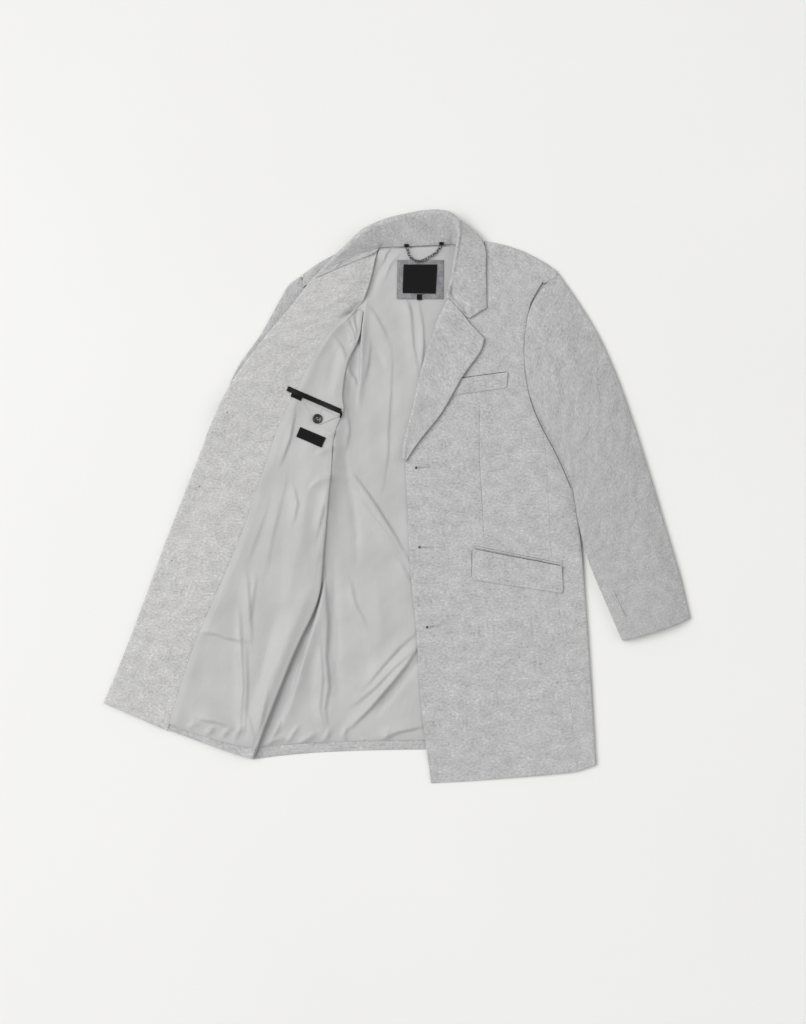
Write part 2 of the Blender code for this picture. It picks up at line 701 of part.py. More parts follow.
def make_front_right(board):
    tab = even(FRONT_RIGHT, "edge", 28)
    edge, side = line(tab, "edge"), line(tab, "side")
    grid = leg(inset(edge, side, FRONT_INSET), inset(side, edge, SIDE_LAP + SEAM), 9)
    grid = board.lay(bowed(grid, tab["crown"]), WOOL, 28.0)
    sheet("front_right", grid, WOOL)
    board.cover(grid, WOOL / 2)
    return grid


def make_lining_right(board, facing_seam):
    tab = even(LINING_RIGHT, "seam", 26)
    start = line(tab, "seam", 0.0)
    start[:, 0] = np.maximum(start[:, 0], beside(start, facing_seam, SEAM))
    grid = bowed(leg(start, line(tab, "side", 0.0), 8), tab["crown"])
    laid = board.lay(grid, LINING, 18.0)
    laid[..., 2] += folds(grid, RIGHT_LINING_FOLDS)
    sheet("lining_right", laid, LINING, "satin")
    board.cover(laid, LINING / 2)


# Lapel and collar

def make_lapel_left(board, front):
    tab = even(LAPEL_LEFT, "roll", 12)
    roll, edge = line(tab, "roll", 0.0), line(tab, "edge", 0.0)
    flat = leg(inset(roll, edge, ROLL_RADIUS), edge, 5)
    laid = board.lay(flat, DOUBLE, 16.0)
    ease = np.linspace(1.0, 0.0, 6) ** 2
    laid[..., 2] += 3.0 * ease[None, :]
    low = laid[:, :1].copy()
    low[..., 2] -= 2 * ROLL_RADIUS
    low[..., 2] = np.maximum(low[..., 2], UPPER_LEVEL - 0.6)
    grid = join_fold(low, laid, roll)
    sheet("lapel_left", grid, DOUBLE)
    board.cover(grid, DOUBLE / 2)


def make_collar(board):
    tab = even(COLLAR, "roll", 24)
    seam, roll, edge = line(tab, "seam"), line(tab, "roll"), line(tab, "fall")
    out = unit(roll[:, :2] - np.array(COLLAR_MIDDLE))
    turn = np.radians(tab["turn"])
    level, rise = np.cos(turn)[:, None], np.sin(turn)[:, None]
    tip = np.concatenate([out * level, rise], axis=1)
    side = np.concatenate([-out * rise, level], axis=1)
    radius = tab["radius"][:, None]
    stand = leg(seam, roll + (side - tip) * radius, 3)
    fall = leg(roll - (side + tip) * radius, edge, 4)
    fall[..., 1] += tab["bow"][:, None] * (1 - np.abs(np.linspace(-1.0, 1.0, 5)))[None, :]
    grid = join_round(stand, fall, roll)
    sheet("collar", grid, DOUBLE)
    board.cover(grid, DOUBLE / 2)


# Small parts

def make_trim(board, name):
    i = TRIM_NAMES.index(name)
    corner = [np.array([TRIMS["x%d" % k][i], TRIMS["y%d" % k][i], 0.0]) for k in range(4)]
    size = max(np.linalg.norm(corner[1] - corner[0]), np.linalg.norm(corner[3] - corner[0]))
    steps = max(2, int(round(size / 24.0)))
    grid = leg(np.linspace(corner[0], corner[3], 4), np.linspace(corner[1], corner[2], 4), steps)
    wall = TRIMS["wall"][i]
    laid = board.lay(grid, wall, 10.0)
    sheet(name, laid, wall, trim_kind(name))
    board.cover(laid, wall / 2)


def trim_kind(name):
    if name in ("welt_chest", "jet_hip", "flap_hip"):
        return "wool"
    return "felt" if name == "patch_neck" else "black"


def make_tab_inner(board):
    one, two, tip = [np.array([x, y, 0.0]) for x, y in TAB_INNER]
    near = tip + (one - tip) * 0.12
    far = tip + (two - tip) * 0.12
    grid = leg(np.linspace(one, near, 4), np.linspace(two, far, 4), 4)
    laid = board.lay(grid, LINING, 8.0)
    sheet("tab_inner", laid, LINING, "satin")
    board.cover(laid, LINING / 2)


def make_button(name, base):
    i = BUTTON_NAMES.index(name)
    centre = np.array([BUTTONS["x"][i], BUTTONS["y"][i], base])
    radius, height = BUTTONS["radius"][i], BUTTONS["height"][i]
    angles = np.linspace(0.0, 2 * math.pi, 16, endpoint=False)
    circle = np.stack([np.cos(angles), np.sin(angles), np.zeros(16)], axis=-1) * radius
    profile = ((0.92, 0.0), (1.0, 0.25), (1.0, 0.8), (0.97, 1.0), (0.7, 0.8))
    rings = [centre + circle * share + np.array([0.0, 0.0, level * height]) for share, level in profile]
    ring_solid(name, rings, "black")


def button_room(board, name):
    """Raise the board where a button of the right front will lie."""
    i = BUTTON_NAMES.index(name)
    centre = np.array([BUTTONS["x"][i], BUTTONS["y"][i], 0.0])
    radius, height = BUTTONS["radius"][i], BUTTONS["height"][i]
    under = board.below(centre[None, :], radius)[0]
    steps = np.array([-0.7, 0.0, 0.7]) * radius
    disc = centre + np.stack(np.meshgrid(steps, steps, [under + GAP + height]), axis=-1)[:, :, 0]
    board.cover(disc, 0.0)


def button_base(grids, name):
    """Height at which a button just clears the lower side of the cloth over it."""
    i = BUTTON_NAMES.index(name)
    lowest = math.inf
    for grid in grids:
        dense = refine(grid, BOARD_CELL)
        away = np.hypot(dense[..., 0] - BUTTONS["x"][i], dense[..., 1] - BUTTONS["y"][i])
        near = dense[..., 2][away < BUTTONS["radius"][i] + SEAM]
        lowest = min(lowest, near.min(initial=math.inf))
    return lowest - WOOL / 2 - GAP - BUTTONS["height"][i]


def make_chain(board):
    path = line(even(CHAIN, "path", 16), "path", 0.0)[:, None, :]
    path = board.lay(path, 2 * CHAIN_RADIUS, 6.0)[:, 0]
    along = unit(np.gradient(path, axis=0))
    side = unit(np.cross(along, np.array([0.0, 0.0, 1.0])))
    up = np.cross(side, along)
    angles = np.linspace(0.0, 2 * math.pi, 8, endpoint=False)
    rings = [path[i] + CHAIN_RADIUS * (np.cos(angles)[:, None] * side[i] + np.sin(angles)[:, None] * up[i])
             for i in range(len(path))]
    ring_solid("chain_hanger", rings, "steel")


def make_chain_tab(board, name, i):
    wide, long, thick = CHAIN_TAB
    x, y = CHAIN_TABS["x"][i], CHAIN_TABS["y"][i]
    left = np.array([[x - wide / 2, y + long / 2, 0.0], [x - wide / 2, y - long / 2, 0.0]])
    right = left + np.array([wide, 0.0, 0.0])
    grid = leg(left, right, 1)
    laid = board.lay(grid, thick, 6.0)
    sheet(name, laid, thick, "black")


def clear_scene():
    for obj in list(bpy.data.objects):
        bpy.data.objects.remove(obj, do_unlink=True)


def main():
    clear_scene()
    board = Board()
    back, shoulders = make_back(board)
    make_lining_back(board)
    for name in ("patch_neck", "tab_size", "label_neck"):
        make_trim(board, name)
    front = make_front_left(board)
    side = make_side_left(board, back, front)
    make_side_right(board, back)
    armhole = np.concatenate([back[:1, -1] - np.array([0.0, ROLL_RADIUS, 0.0]), front[:, -1]])
    rest = Board()
    make_sleeve("right", even(SLEEVE_RIGHT, "outer", 14), board, rest, back[:, 0], back[:, 0], -1.0)
    rest.cover(side, WOOL / 2)
    make_sleeve("left", even(SLEEVE_LEFT, "outer", 18), board, rest, back[:, -1], armhole, 1.0)
    for strip in shoulders:
        board.cover(strip, WOOL / 2)
    for name in ("welt_chest", "jet_hip", "flap_hip"):
        make_trim(board, name)
    make_lapel_left(board, front)
    for name in BUTTON_NAMES[:3]:
        button_room(board, name)
    make_right_front(board)
    make_chain(board)
    for i, name in enumerate(("chain_tab_left", "chain_tab_right")):
        make_chain_tab(board, name, i)
    make_collar(board)
    make_trim(copy.deepcopy(board), "tag_inner")
    for name in ("welt_inner", "label_inner"):
        make_trim(board, name)
    make_tab_inner(board)
    middle = np.array([[BUTTONS["x"][3], BUTTONS["y"][3], 0.0]])
    make_button("button_inner", board.below(middle, INNER_BUTTON_RADIUS)[0] + GAP)


main()
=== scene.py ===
"""Looks of a light grey wool overcoat laid flat on its back, left front closed, right front turned open.

Sizes are in millimetres and become metres when a mesh is made. Each panel is a short table of sections,
read at close rows, laid on what already lies on the table, creased, and given the thickness of its cloth.
Left and right are those of the person who wears the coat.
"""
import math
from collections import namedtuple

import bpy
import numpy as np
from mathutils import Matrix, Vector
from mathutils.bvhtree import BVHTree


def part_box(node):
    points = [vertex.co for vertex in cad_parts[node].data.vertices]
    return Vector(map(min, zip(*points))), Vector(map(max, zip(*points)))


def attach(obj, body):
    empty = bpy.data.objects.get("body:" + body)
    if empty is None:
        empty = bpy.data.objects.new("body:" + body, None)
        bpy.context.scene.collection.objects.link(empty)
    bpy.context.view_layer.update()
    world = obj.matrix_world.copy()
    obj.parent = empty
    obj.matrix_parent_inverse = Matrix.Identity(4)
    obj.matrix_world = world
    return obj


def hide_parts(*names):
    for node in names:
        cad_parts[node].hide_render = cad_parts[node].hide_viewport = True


MM = 0.001

# Middle of the outline as it was measured, moved to the origin
CENTRE = np.array([-2.5, 1.3, 0.0])

# Cloth walls and the air between pieces
WOOL = 2.4
DOUBLE = 3.2
LINING = 0.9
GAP = 0.35
SEAM = -0.35
HIDDEN_SEAM = 1.4
ARMHOLE_SEAM = 0.1
LOFT = 1.8
LINING_LAP = 1.5
COLLAR_LAP = 3.0
GORGE_REACH = 26.0
NECK_STAND = 4.6

# Distance between neighbouring points of a panel
WOOL_STEP = 4.0
HIDDEN_STEP = 8.0
LINING_STEP = 2.8
BACK_STEP = 4.8
TRIM_STEP = 3.0

# Heights of the middle of the wall where one layer lies over another
TABLE_LEVEL = 1.3
UPPER_LEVEL = 6.8
PLEAT_LEVEL = 5.6
OPEN_LEVEL = 10.4

# Folds and rolls
FOLD_STEPS = 9
BOW_SHAPE = 3.0
FADE = 8.0
ROLL_RADIUS = 4.0
LAPEL_ROLL = 2.4
LAPEL_LIFT = 1.6
COLLAR_MIDDLE = (34.0, 344.0)
SLEEVE_TUCK = 14.0
EDGE_FALL = 0.48
HEAD_DROP = 3.4
ARMHOLE_DIP = 1.6
HEAD_ROLL = 8.0
SHOULDER_RISE = 13.0
PLEAT_LAP = 7.0
SIDE_LAP = 10.0
FRONT_INSET = 5.0
EDGE_INSET = 3.6
LINING_ROLL = 5.0
LINING_SLOPE = 24.0

# Shoulder strips of the back: reach past the seam, and the shares of the width where they end and start
STRIP_SHORTEST = 2.0
RIGHT_STRIP_REACH = 16.0
LEFT_STRIP_REACH = 6.0
LEFT_STRIP_RAMP = (246.0, 10.0)
STRIP_SHARES = (0.24, 0.71)

# Left front: lapel break, bulge at the underarm, dart and dip beside the armhole
EDGE_ROOM = 0.6
BREAK_RAMP = (62.0, 40.0)
UNDERARM_REACH = 7.0
UNDERARM_WAY = (1.0, 0.0, -0.2)
UNDERARM_Y = 142.0
UNDERARM_SPREAD = 26.0
DART_ENDS = (-76.0, 162.0)
ARMHOLE_DIP_WIDTH = 7.0
ARMHOLE_DIP_SHAPE = 1.5
ARMHOLE_ENDS = (130.0, 400.0, 20.0)

# Loose lining: columns of its seen and hidden part, softness, hem, rolled edge and slope
SEEN_SHARE = 0.62
SEEN_COLUMNS = 118
HIDDEN_COLUMNS = 28
LINING_SWELLS = ((90.0, 0.7), (36.0, 0.25))
HEM_REACH = 9.0
HEM_SHAPE = 0.6
SEAM_HOLD = 12.0
SLOPE_RAMP = (-200.0, 90.0)
LINING_ROLL_SHARE = 0.3
LINING_ROLL_DEPTH = 1.2
LINING_UNDER = 2.5
LINING_REST = 6.0

# Right front: pleat, side of the hem, slope of the facing beside the neck and at the hem
PLEAT_INSET = 4.0
HEM_SIDE_LAP = 2.0
HEM_SIDE_RAMP = (16.0, 30.0)
NECK_ENDS = (336.0, 430.0, 16.0)
NECK_RAMP = (300.0, 30.0)
HEM_CORNER = 16.0
HEM_CORNER_RISE = 30.0
HEM_CORNER_DROP = 2.2

# Sleeves: crown, outer edge, bow, and where the head meets the armhole
CROWN_SHARE = 0.22
CROWN_REACH = 70.0
CROWN_SHAPE = 2.2
EDGE_FALL_RAMP = (0.66, 0.34)
EDGE_FALL_SHAPE = 1.6
SLEEVE_BOW_SHAPE = 2.5
MEET_REACH = 80.0
HEAD_SINK = 0.6
HEAD_ENDS = (110.0, 500.0, 30.0)
RAISED_ENDS = (8.0, 60.0)

# Lapel and collar
LAPEL_CROWN = 3.0
LAPEL_OFF = 0.3
LAPEL_SINK = 0.6
LAPEL_UNDER = (6.5, 3.5, 1.2)
LAPEL_UNDER_RAMP = (0.38, 0.3)
LEAF_X = 98.0
RIGHT_HALF_X = -24.0
COLLAR_REST = 3.0
COLLAR_SINK = 0.2
COLLAR_RIM = 3.2
STAND_LEAST = 1.5
GORGE_SEWN = (-0.2, 0.6, 0.16)
GORGE_REST = 1.5
GORGE_LIFT = 0.7

# How a piece settles on what lies below: rounds of spanning, reach it rests over, and depth it is sunk by
SPAN_WOOL = 120
SPAN_LINING = 200
SPAN_SLEEVE = 4
SPAN_TRIM = 12
SPAN_TAB = 8
SPAN_HOOK = 6
WIDE_REST = 8.0
SEAM_REST = 2.0
TRIM_REST = 3.0
BUTTON_REST = 5.0
SINK = 0.5
REST = 4.0
SPAN = 40
SOFTEN = 3
BARE_TABLE = 0.1

# Form of a crease across and along, and of the low swells of wool (length and height)
CREASE_END = 0.04
CREASE_TAPER = 0.6
CREASE_SHAPE = 1.7
RIPPLE_WAVES = 9
RIPPLE_RANGE = (0.6, 1.6)
RIPPLE_EVEN = 3.0
FRONT_SWELL = (170.0, 0.35)
FACING_SWELL = (150.0, 0.4)
SEEDS = {"lining_back": 5, "front_left": 11, "facing_right": 17, "lining_right": 23}

# Smallest cut, in metres, whose area is clamped to at least a share of its box, and that least share
SHEET_LEAST = 0.0101
AREA_LEAST = 0.3

# Floor
FLOOR_HALF = 6.0
FLOOR_CLOUDS = 1.4
FLOOR_TONES = ((0.3, (0.865, 0.862, 0.845)), (0.7, (0.88, 0.877, 0.86)))

# Rounding of a cut or turned edge: places from the edge inwards, and the share of the wall that is left there
RIM_AT = np.array([0.0, 0.1, 0.35, 0.65, 1.0])
RIM_SHARE = np.array([0.2, 0.5, 0.78, 0.95, 1.0])
RIM_ROUND = 0.6
RIM_MOST = 0.95

# Places across a pressed seam, its depth, and the share and width of its narrow and its wide part
GROOVE_AT = np.array([-4.0, -2.2, -1.1, -0.5, 0.0, 0.5, 1.1, 2.2, 4.0])
GROOVE_DEPTH = 1.1
GROOVE_FORM = ((0.75, 0.8), (0.25, 3.0))

# Heights on the table, read in cells
BOARD_HALF = 600.0
BOARD_CELL = 3.0

# View of the photograph
IMAGE_HEIGHT = 1792.0
IMAGE_MIDDLE = (7.9, -27.1)
CAMERA_HEIGHT = 3000.0
SENSOR = 36.0
CAMERA_CLIP = 50.0

# Soft light of a studio: a broad lamp on either side, the left one stronger, and a near window at the left
WORLD_LIGHT = 0.39
NEAR_LIGHT = 10.0
NEAR_PLACE = (-2.0, 0.1, 2.0)
NEAR_SIZE = (1.4, 2.0)
SUN_SPREAD = 44.0
SUNS = (("window_left", 1.8, (0.74, -0.28, -0.95)), ("window_right", 0.52, (-0.86, -0.2, -0.7)))

Crease = namedtuple("Crease", "name width height lean points")
Trim = namedtuple("Trim", "corners wall round lift rim", defaults=((0.0, 0.0), None))


def table(columns, *rows):
    """One array for each named column; the first entry of a row names the section."""
    names = columns.split()
    return {name: np.array([row[i + 1] for row in rows], float) for i, name in enumerate(names)}


def creases(*rows):
    """Folds from rows of name, width, height, lean and then the points."""
    return [Crease(*row[:4], np.array(row[4:], float)) for row in rows]


BACK = table(
    "left_x left_y right_x right_y crown",
    ("shoulder", -167, 386.5, 276, 393, 59),
    ("blade", -150, 333, 249, 340, 34),
    ("armhole", -134, 265, 238, 274, 14),
    ("chest", -136, 195, 244, 195, 5),
    ("underarm", -144, 116, 258, 116, 0),
    ("waist", -151, 11, 262, 11, 0),
    ("hip", -162, -102, 274, -102, 4),
    ("thigh", -190, -260, 288, -269, 10),
    ("hem", -256, -460, 302, -452, 13.5),
)

SIDE_LEFT = table(
    "top_y fold_x fold_y low_x low_y",
    ("underarm", 136, 287, 133, 258, 133),
    ("waist", 46, 302, 29, 265, 22),
    ("hip", -95, 319, -87, 276, -94),
    ("pocket", -185, 326, -181, 284, -185),
    ("thigh", -312, 335, -312, 293, -321),
    ("hem", -477, 344, -466, 304, -452),
)

FRONT_LEFT = table(
    "edge_x edge_y edge_z side_x side_y side_z crown dart",
    ("shoulder", 125, 431, UPPER_LEVEL, 253, 377, UPPER_LEVEL, 0, 0.47),
    ("neck", 115, 393, UPPER_LEVEL, 232, 339, UPPER_LEVEL, 0, 0.47),
    ("gorge", 102, 349, UPPER_LEVEL, 221, 286, UPPER_LEVEL, 0, 0.47),
    ("lapel", 74, 305, UPPER_LEVEL, 220, 239, UPPER_LEVEL, 0, 0.47),
    ("chest", 55, 253, 6.5, 227, 190, UPPER_LEVEL, 0, 0.47),
    ("welt", 36, 179, 6.0, 242, 143, UPPER_LEVEL, 0, 0.49),
    ("break", 14, 88, 5.5, 256, 87, UPPER_LEVEL, 0, 0.52),
    ("waist", 16, -31, 5.0, 263, -24, UPPER_LEVEL, 0, 0.53),
    ("hip", 19, -111, 5.0, 268, -102, UPPER_LEVEL, 0, 0.53),
    ("pocket", 30, -227, 5.0, 283, -207, UPPER_LEVEL, -2, 0.52),
    ("thigh", 39, -360, 5.0, 300, -356, UPPER_LEVEL, -3, 0.5),
    ("hem", 56, -501, TABLE_LEVEL, 312, -480, UPPER_LEVEL, -2, 0.5),
)

LAPEL_LEFT = table(
    "roll_x roll_y edge_x edge_y",
    ("gorge", 86, 341, 150, 275),
    ("tip", 72, 314, 144, 255),
    ("upper", 56, 269, 113, 211),
    ("middle", 39, 214, 78, 150),
    ("lower", 24, 146, 43, 105),
    ("break", 9, 84, 22, 76),
    ("end", 8, 66, 12, 60),
)

FRONT_RIGHT = table(
    "edge_x edge_y edge_z side_x side_y side_z crown",
    ("gorge", -150, 377, 12.0, -38, 422, 9.0, 0),
    ("shoulder", -186, 332, 12.0, -58, 349, 6.0, 0),
    ("blade", -220, 291, 12.0, -68, 277, 6.0, 0),
    ("armhole", -258, 244, 10.0, -92, 239, 6.0, 0),
    ("chest", -298, 185, 8.0, -97, 179, 8.0, 0),
    ("underarm", -324, 130, 5.0, -102, 125, OPEN_LEVEL, 0),
    ("waist", -359.5, 39, 3.6, -111, 38, OPEN_LEVEL, 0),
    ("hip", -404.5, -76, 3.6, -125, -90, OPEN_LEVEL, 0),
    ("pocket", -443, -181, 3.6, -141, -181, OPEN_LEVEL, 0),
    ("thigh", -479.5, -277, 3.6, -185, -272, OPEN_LEVEL, -4),
    ("hem", -514, -361, 3.6, -253, -458, OPEN_LEVEL, -4.5),
)

FACING_RIGHT = table(
    "edge_x edge_y seam_x seam_y under",
    ("gorge", -148, 382, -37, 428, 80),
    ("collar", -178, 342, -54, 361, 90),
    ("shoulder", -207, 307, -71, 330, 88),
    ("blade", -232, 277, -113, 293, 74),
    ("armhole", -258, 244, -144, 248, 56),
    ("chest", -298, 185, -176, 185, 28),
    ("underarm", -324, 130, -204, 129, 12),
    ("waist", -359.5, 39, -237, 36, 9),
    ("hip", -404.5, -76, -277, -78, 9),
    ("pocket", -443, -181, -321, -181, 9),
    ("thigh", -479.5, -277, -361, -277, 9),
    ("hem", -514, -361, -403, -409, 9),
)

LINING_RIGHT = table(
    "seam_x seam_y side_x side_y crown",
    ("top", -72, 327, -62, 323, 0),
    ("blade", -112, 291, -69, 277, 0),
    ("armhole", -143, 246, -88, 235, 0),
    ("chest", -175, 185, -98, 176, 0),
    ("mouth", -193.5, 148, -97, 146, 0),
    ("underarm", -203, 129, -106, 125, 0),
    ("waist", -236, 36, -118, 38, 0),
    ("hip", -276, -78, -130, -90, 0),
    ("pocket", -320, -181, -141, -181, 0),
    ("thigh", -360, -277, -181.5, -272, -3),
    ("hem", -401, -396, -248, -439, -5),
)

LINING_BACK = table(
    "left_x left_y right_x right_y crown",
    ("neck", -34, 430, 101, 436, 2),
    ("collar", -53, 388, 143, 393, 0),
    ("shoulder", -71, 344, 186, 340, 0),
    ("blade", -85, 283, 214, 283, 0),
    ("armhole", -108, 230, 222, 230, 0),
    ("chest", -116, 169, 234, 169, 0),
    ("underarm", -122, 116, 246, 116, 0),
    ("waist", -132, 29, 252, 29, 0),
    ("hip", -146, -94, 262, -94, 0),
    ("pocket", -162, -181, 270, -181, 2),
    ("thigh", -184, -269, 278, -269, 8),
    ("hem", -250, -439, 290, -433, 10),
)

SIDE_RIGHT = table(
    "fold_x fold_y",
    ("underarm", -100, 112),
    ("waist", -109, 38),
    ("hip", -123, -90),
    ("pocket", -139, -181),
    ("thigh", -183, -272),
    ("hem", -249, -456),
)

SLEEVE_LEFT = table(
    "outer_x outer_y outer_z inner_x inner_y inner_z rise bow",
    ("head", 277, 390, 1.3, 242, 146, 1.3, 8.6, 34),
    ("blade", 309, 346, 1.3, 263, 108, 9.4, 9.5, 24),
    ("chest", 344, 290, 1.3, 284, 67, 9.4, 11.0, 14),
    ("upper", 379, 214, 1.3, 302, 24, 9.4, 12.5, 7),
    ("elbow", 410, 127, 1.3, 313, -39, 9.4, 14.0, 3),
    ("lower", 440, 32, 1.3, 328, -99, 5.0, 14.5, 0),
    ("forearm", 466, -55, 1.3, 348, -151, 1.3, 15.0, 0),
    ("vent", 493, -146, 1.3, 372, -206, 1.3, 14.0, 0),
    ("cuff", 509, -213, 1.3, 391, -251, 1.3, 13.0, -2),
)

SLEEVE_RIGHT = table(
    "outer_x outer_y outer_z inner_x inner_y inner_z rise bow",
    ("head", -169, 384, 1.3, -162, 130, 1.3, 5.2, -16),
    ("cap", -188, 371, 1.3, -169, 117, 1.3, 5.4, -14),
    ("blade", -206, 343, 1.3, -178, 99, 1.3, 5.6, -12),
    ("chest", -239, 284, 1.3, -196, 64, 1.3, 5.6, -8),
    ("upper", -284, 218, 1.3, -213, 22, 1.3, 5.6, -4),
    ("elbow", -314, 127, 1.3, -212, -41, 1.3, 5.6, 0),
    ("lower", -326, 32, 1.3, -215, -99, 1.3, 5.6, 0),
    ("forearm", -345, -55, 1.3, -228, -151, 1.3, 5.6, 0),
    ("vent", -368, -146, 1.3, -252, -206, 1.3, 5.6, 0),
    ("cuff", -383, -213, 1.3, -270, -251, 1.3, 5.6, 0),
)

COLLAR = table(
    "seam_x seam_y seam_z roll_x roll_y roll_z turn radius fall_x fall_y fall_z bow",
    ("gorge_right", -43, 423, 8.0, -146, 381, 13.5, 0, 3.0, -118, 399, 11.0, 0),
    ("front_right", -36, 433, 7.0, -118.7, 410.6, 15.0, 5, 3.6, -82, 416, 11.0, 0),
    ("side_right", -29, 436, 6.5, -90.6, 437.3, 17.0, 8, 4.5, -54, 441, 10.5, 0),
    ("turn_right", -17, 438, 6.0, -62.8, 463, 18.5, 10, 5.5, -36, 452, 6.0, 0),
    ("nape_right", -1, 439, 5.4, -24.4, 481.2, 19.0, 12, 6.0, -11, 457, 3.0, 0),
    ("nape_middle", 20, 440, 5.4, 13, 490.5, 20.0, 15, 6.0, 17, 459, 2.5, 0),
    ("nape_left", 45, 441, 5.4, 51, 496.5, 22.0, 20, 6.0, 48, 461, 2.5, 0),
    ("turn_left", 69, 442, 5.4, 72.5, 496, 24.0, 30, 6.0, 75, 464, 3.0, 0),
    ("rise_left", 85, 443, 6.5, 88, 491, 27.0, 50, 6.0, 96, 470, 4.0, 0),
    ("side_left", 99, 443, 8.0, 100, 477.5, 29.0, 85, 6.0, 116, 476, 7.0, 0),
    ("leaf_back", 111, 436, 8.0, 104, 462, 27.0, 115, 5.5, 135.5, 459, 12.0, 0),
    ("leaf_top", 115, 416, 7.0, 101, 433, 24.0, 135, 5.0, 150.5, 436, 12.0, 0),
    ("leaf_middle", 107, 384, 7.0, 94, 394, 20.0, 150, 4.5, 152.5, 391, 12.0, -4),
    ("gorge_left", 96, 349, 7.0, 84, 344, 15.0, 155, 4.0, 154.5, 329, 11.4, -27),
)

# How far the rolled edge of the right lining comes down to the back lining at each height
TIP = table(
    "y share",
    ("hem", -460, 0.9), ("above hem", -425, 0.7), ("wedge", -380, 0.1), ("thigh", -190, 0.0),
    ("pocket", -130, 0.3), ("hip", -90, 0.45), ("below waist", -20, 0.35), ("waist", 0, 0.0),
    ("above waist", 55, 0.0), ("underarm", 85, 0.35), ("chest", 120, 0.5), ("blade", 170, 0.5),
    ("armhole", 205, 0.35),
)

# Folds and puckers, as soft ridges (or troughs, where the height is below 0) along a few points
BACK_LINING_CREASES = creases(
    ("waist diagonal", 2.2, 5.8, 6.8, (-92, 40), (-78, 36), (-60, 12), (-38, -20), (-8, -68), (14, -106)),
    ("waist second", 2, 2.6, 4.6, (-72, 2), (-46, -34), (-20, -66), (-2, -94)),
    ("waist short", 2.5, 2.7, 3.8, (2, -114), (21, -153)),
    ("waist trough", 7, -2.4, 1, (-95, 82), (-89, 36), (-79, -18), (-74, -62), (-72, -112)),
    ("edge fall", 16, 12.5, 0.35, (-88, 268), (-96, 226), (-103, 190), (-104, 150), (-110, 112),
     (-115, 70), (-121, 30), (-126, -24), (-130, -66), (-134, -110)),
    ("hem deep", 1.9, 8.0, 6.5, (34, -262), (12, -296), (-14, -328), (-50, -370), (-82, -402)),
    ("hem deep shade", 6, -3, 1.2, (44, -276), (6, -322), (-38, -380)),
    ("hem upper", 2.2, 4.5, 5.7, (30, -238), (0, -264), (-30, -298), (-58, -332)),
    ("hem between", 2.2, 4.3, 4.9, (26, -268), (-8, -298), (-44, -336), (-76, -362)),
    ("left drop", 2.2, 5.6, 6.8, (-130, -140), (-124, -220), (-127, -280), (-122, -330), (-129, -372),
     (-124, -402)),
    ("left drop twin", 2, 3.6, 4.6, (-136, -260), (-133, -320), (-138, -372), (-130, -402)),
    ("left drop shade", 9, -2.8, 1, (-113, -110), (-112, -220), (-109, -300), (-104, -352)),
    ("wedge ridge", 14, 9.0, 0.2, (-128, -150), (-142, -210), (-158, -260), (-173, -310), (-185, -352),
     (-199, -388)),
    ("thigh crease", 2.2, 3, 5.3, (-84, -150), (-76, -188), (-56, -226)),
    ("neck fold", 2.4, 3.2, 4.9, (15, 338), (22, 306), (25, 264), (33, 222)),
    ("neck fold two", 2.2, 3.2, 3.8, (35, 338), (42, 296), (43, 262), (38, 208)),
    ("neck fold short", 2, 2.7, 3.8, (17, 338), (24, 312)),
    ("side neck fold", 2.9, 3.5, 4.6, (-50, 328), (-38, 310), (-26, 288), (-18, 270)),
    ("side neck drop", 2.4, 3.2, 4.6, (-50, 268), (-53, 236), (-59, 205)),
    ("side neck shade", 7, -2, 1.2, (-42, 262), (-24, 222)),
    ("neck trough", 6, -2.6, 1, (-20, 416), (-36, 390), (-50, 352)),
    ("neck pinch one", 1.9, 2.4, 3, (-12, 436), (-22, 424), (-27, 408)),
    ("neck pinch two", 2, 1.9, 3.4, (2, 424), (-14, 406), (-24, 380)),
    ("armhole pocket", 7, -2.0, 1, (-80, 262), (-79, 222), (-88, 170)),
    ("armhole fold", 8, 7.6, 0.28, (-58, 332), (-63, 292), (-65, 258), (-66, 212), (-70, 166)),
    ("armhole cross", 2.2, 4.6, 3.4, (-90, 236), (-86, 218), (-76, 202), (-71, 190)),
    ("armhole lower", 2.5, 2.9, 3.8, (-92, 150), (-86, 118), (-92, 84)),
    ("centre pleat", 1.9, 2.7, 11.4, (-12, 243), (-14, 182), (-18, 120), (-19, 74), (-24, 42), (-28, 16)),
    ("hem pleat", 2, 6, 5.7, (44, -401), (0, -410), (-30, -424)),
    ("hem pucker one", 2, 6.4, 3.4, (-180, -436), (-164, -424), (-146, -412)),
    ("hem pucker two", 2, 5.2, 3, (-92, -430), (-98, -416), (-92, -404)),
    ("hem pucker three", 2, 4.8, 3, (-34, -432), (-24, -420), (-18, -408)),
    ("hem pucker four", 2, 5.6, 3.4, (-236, -436), (-220, -424), (-198, -420)),
    ("hem pucker five", 2, 5.2, 3, (-226, -426), (-214, -408), (-206, -392)),
    ("hem pucker six", 2, 4.4, 3, (-134, -432), (-126, -416), (-120, -404)),
    ("hem pucker seven", 2, 4.4, 3, (-196, -430), (-186, -414), (-176, -400)),
    ("hem pucker eight", 2, 4, 3, (-70, -432), (-62, -424), (-50, -430)),
    ("front tuck", 4.2, 2.7, 4.2, (34, 200), (24, 150), (12, 100)),
    ("thigh swell", 16, 3, 1.6, (-40, -150), (-30, -230), (-42, -300)),
    ("waist swell", 20, 2.4, 1.4, (-50, 150), (-52, 90), (-40, 20)),
    ("chest swell", 18, 2.2, 1.4, (6, 240), (0, 150), (-4, 60)),
)

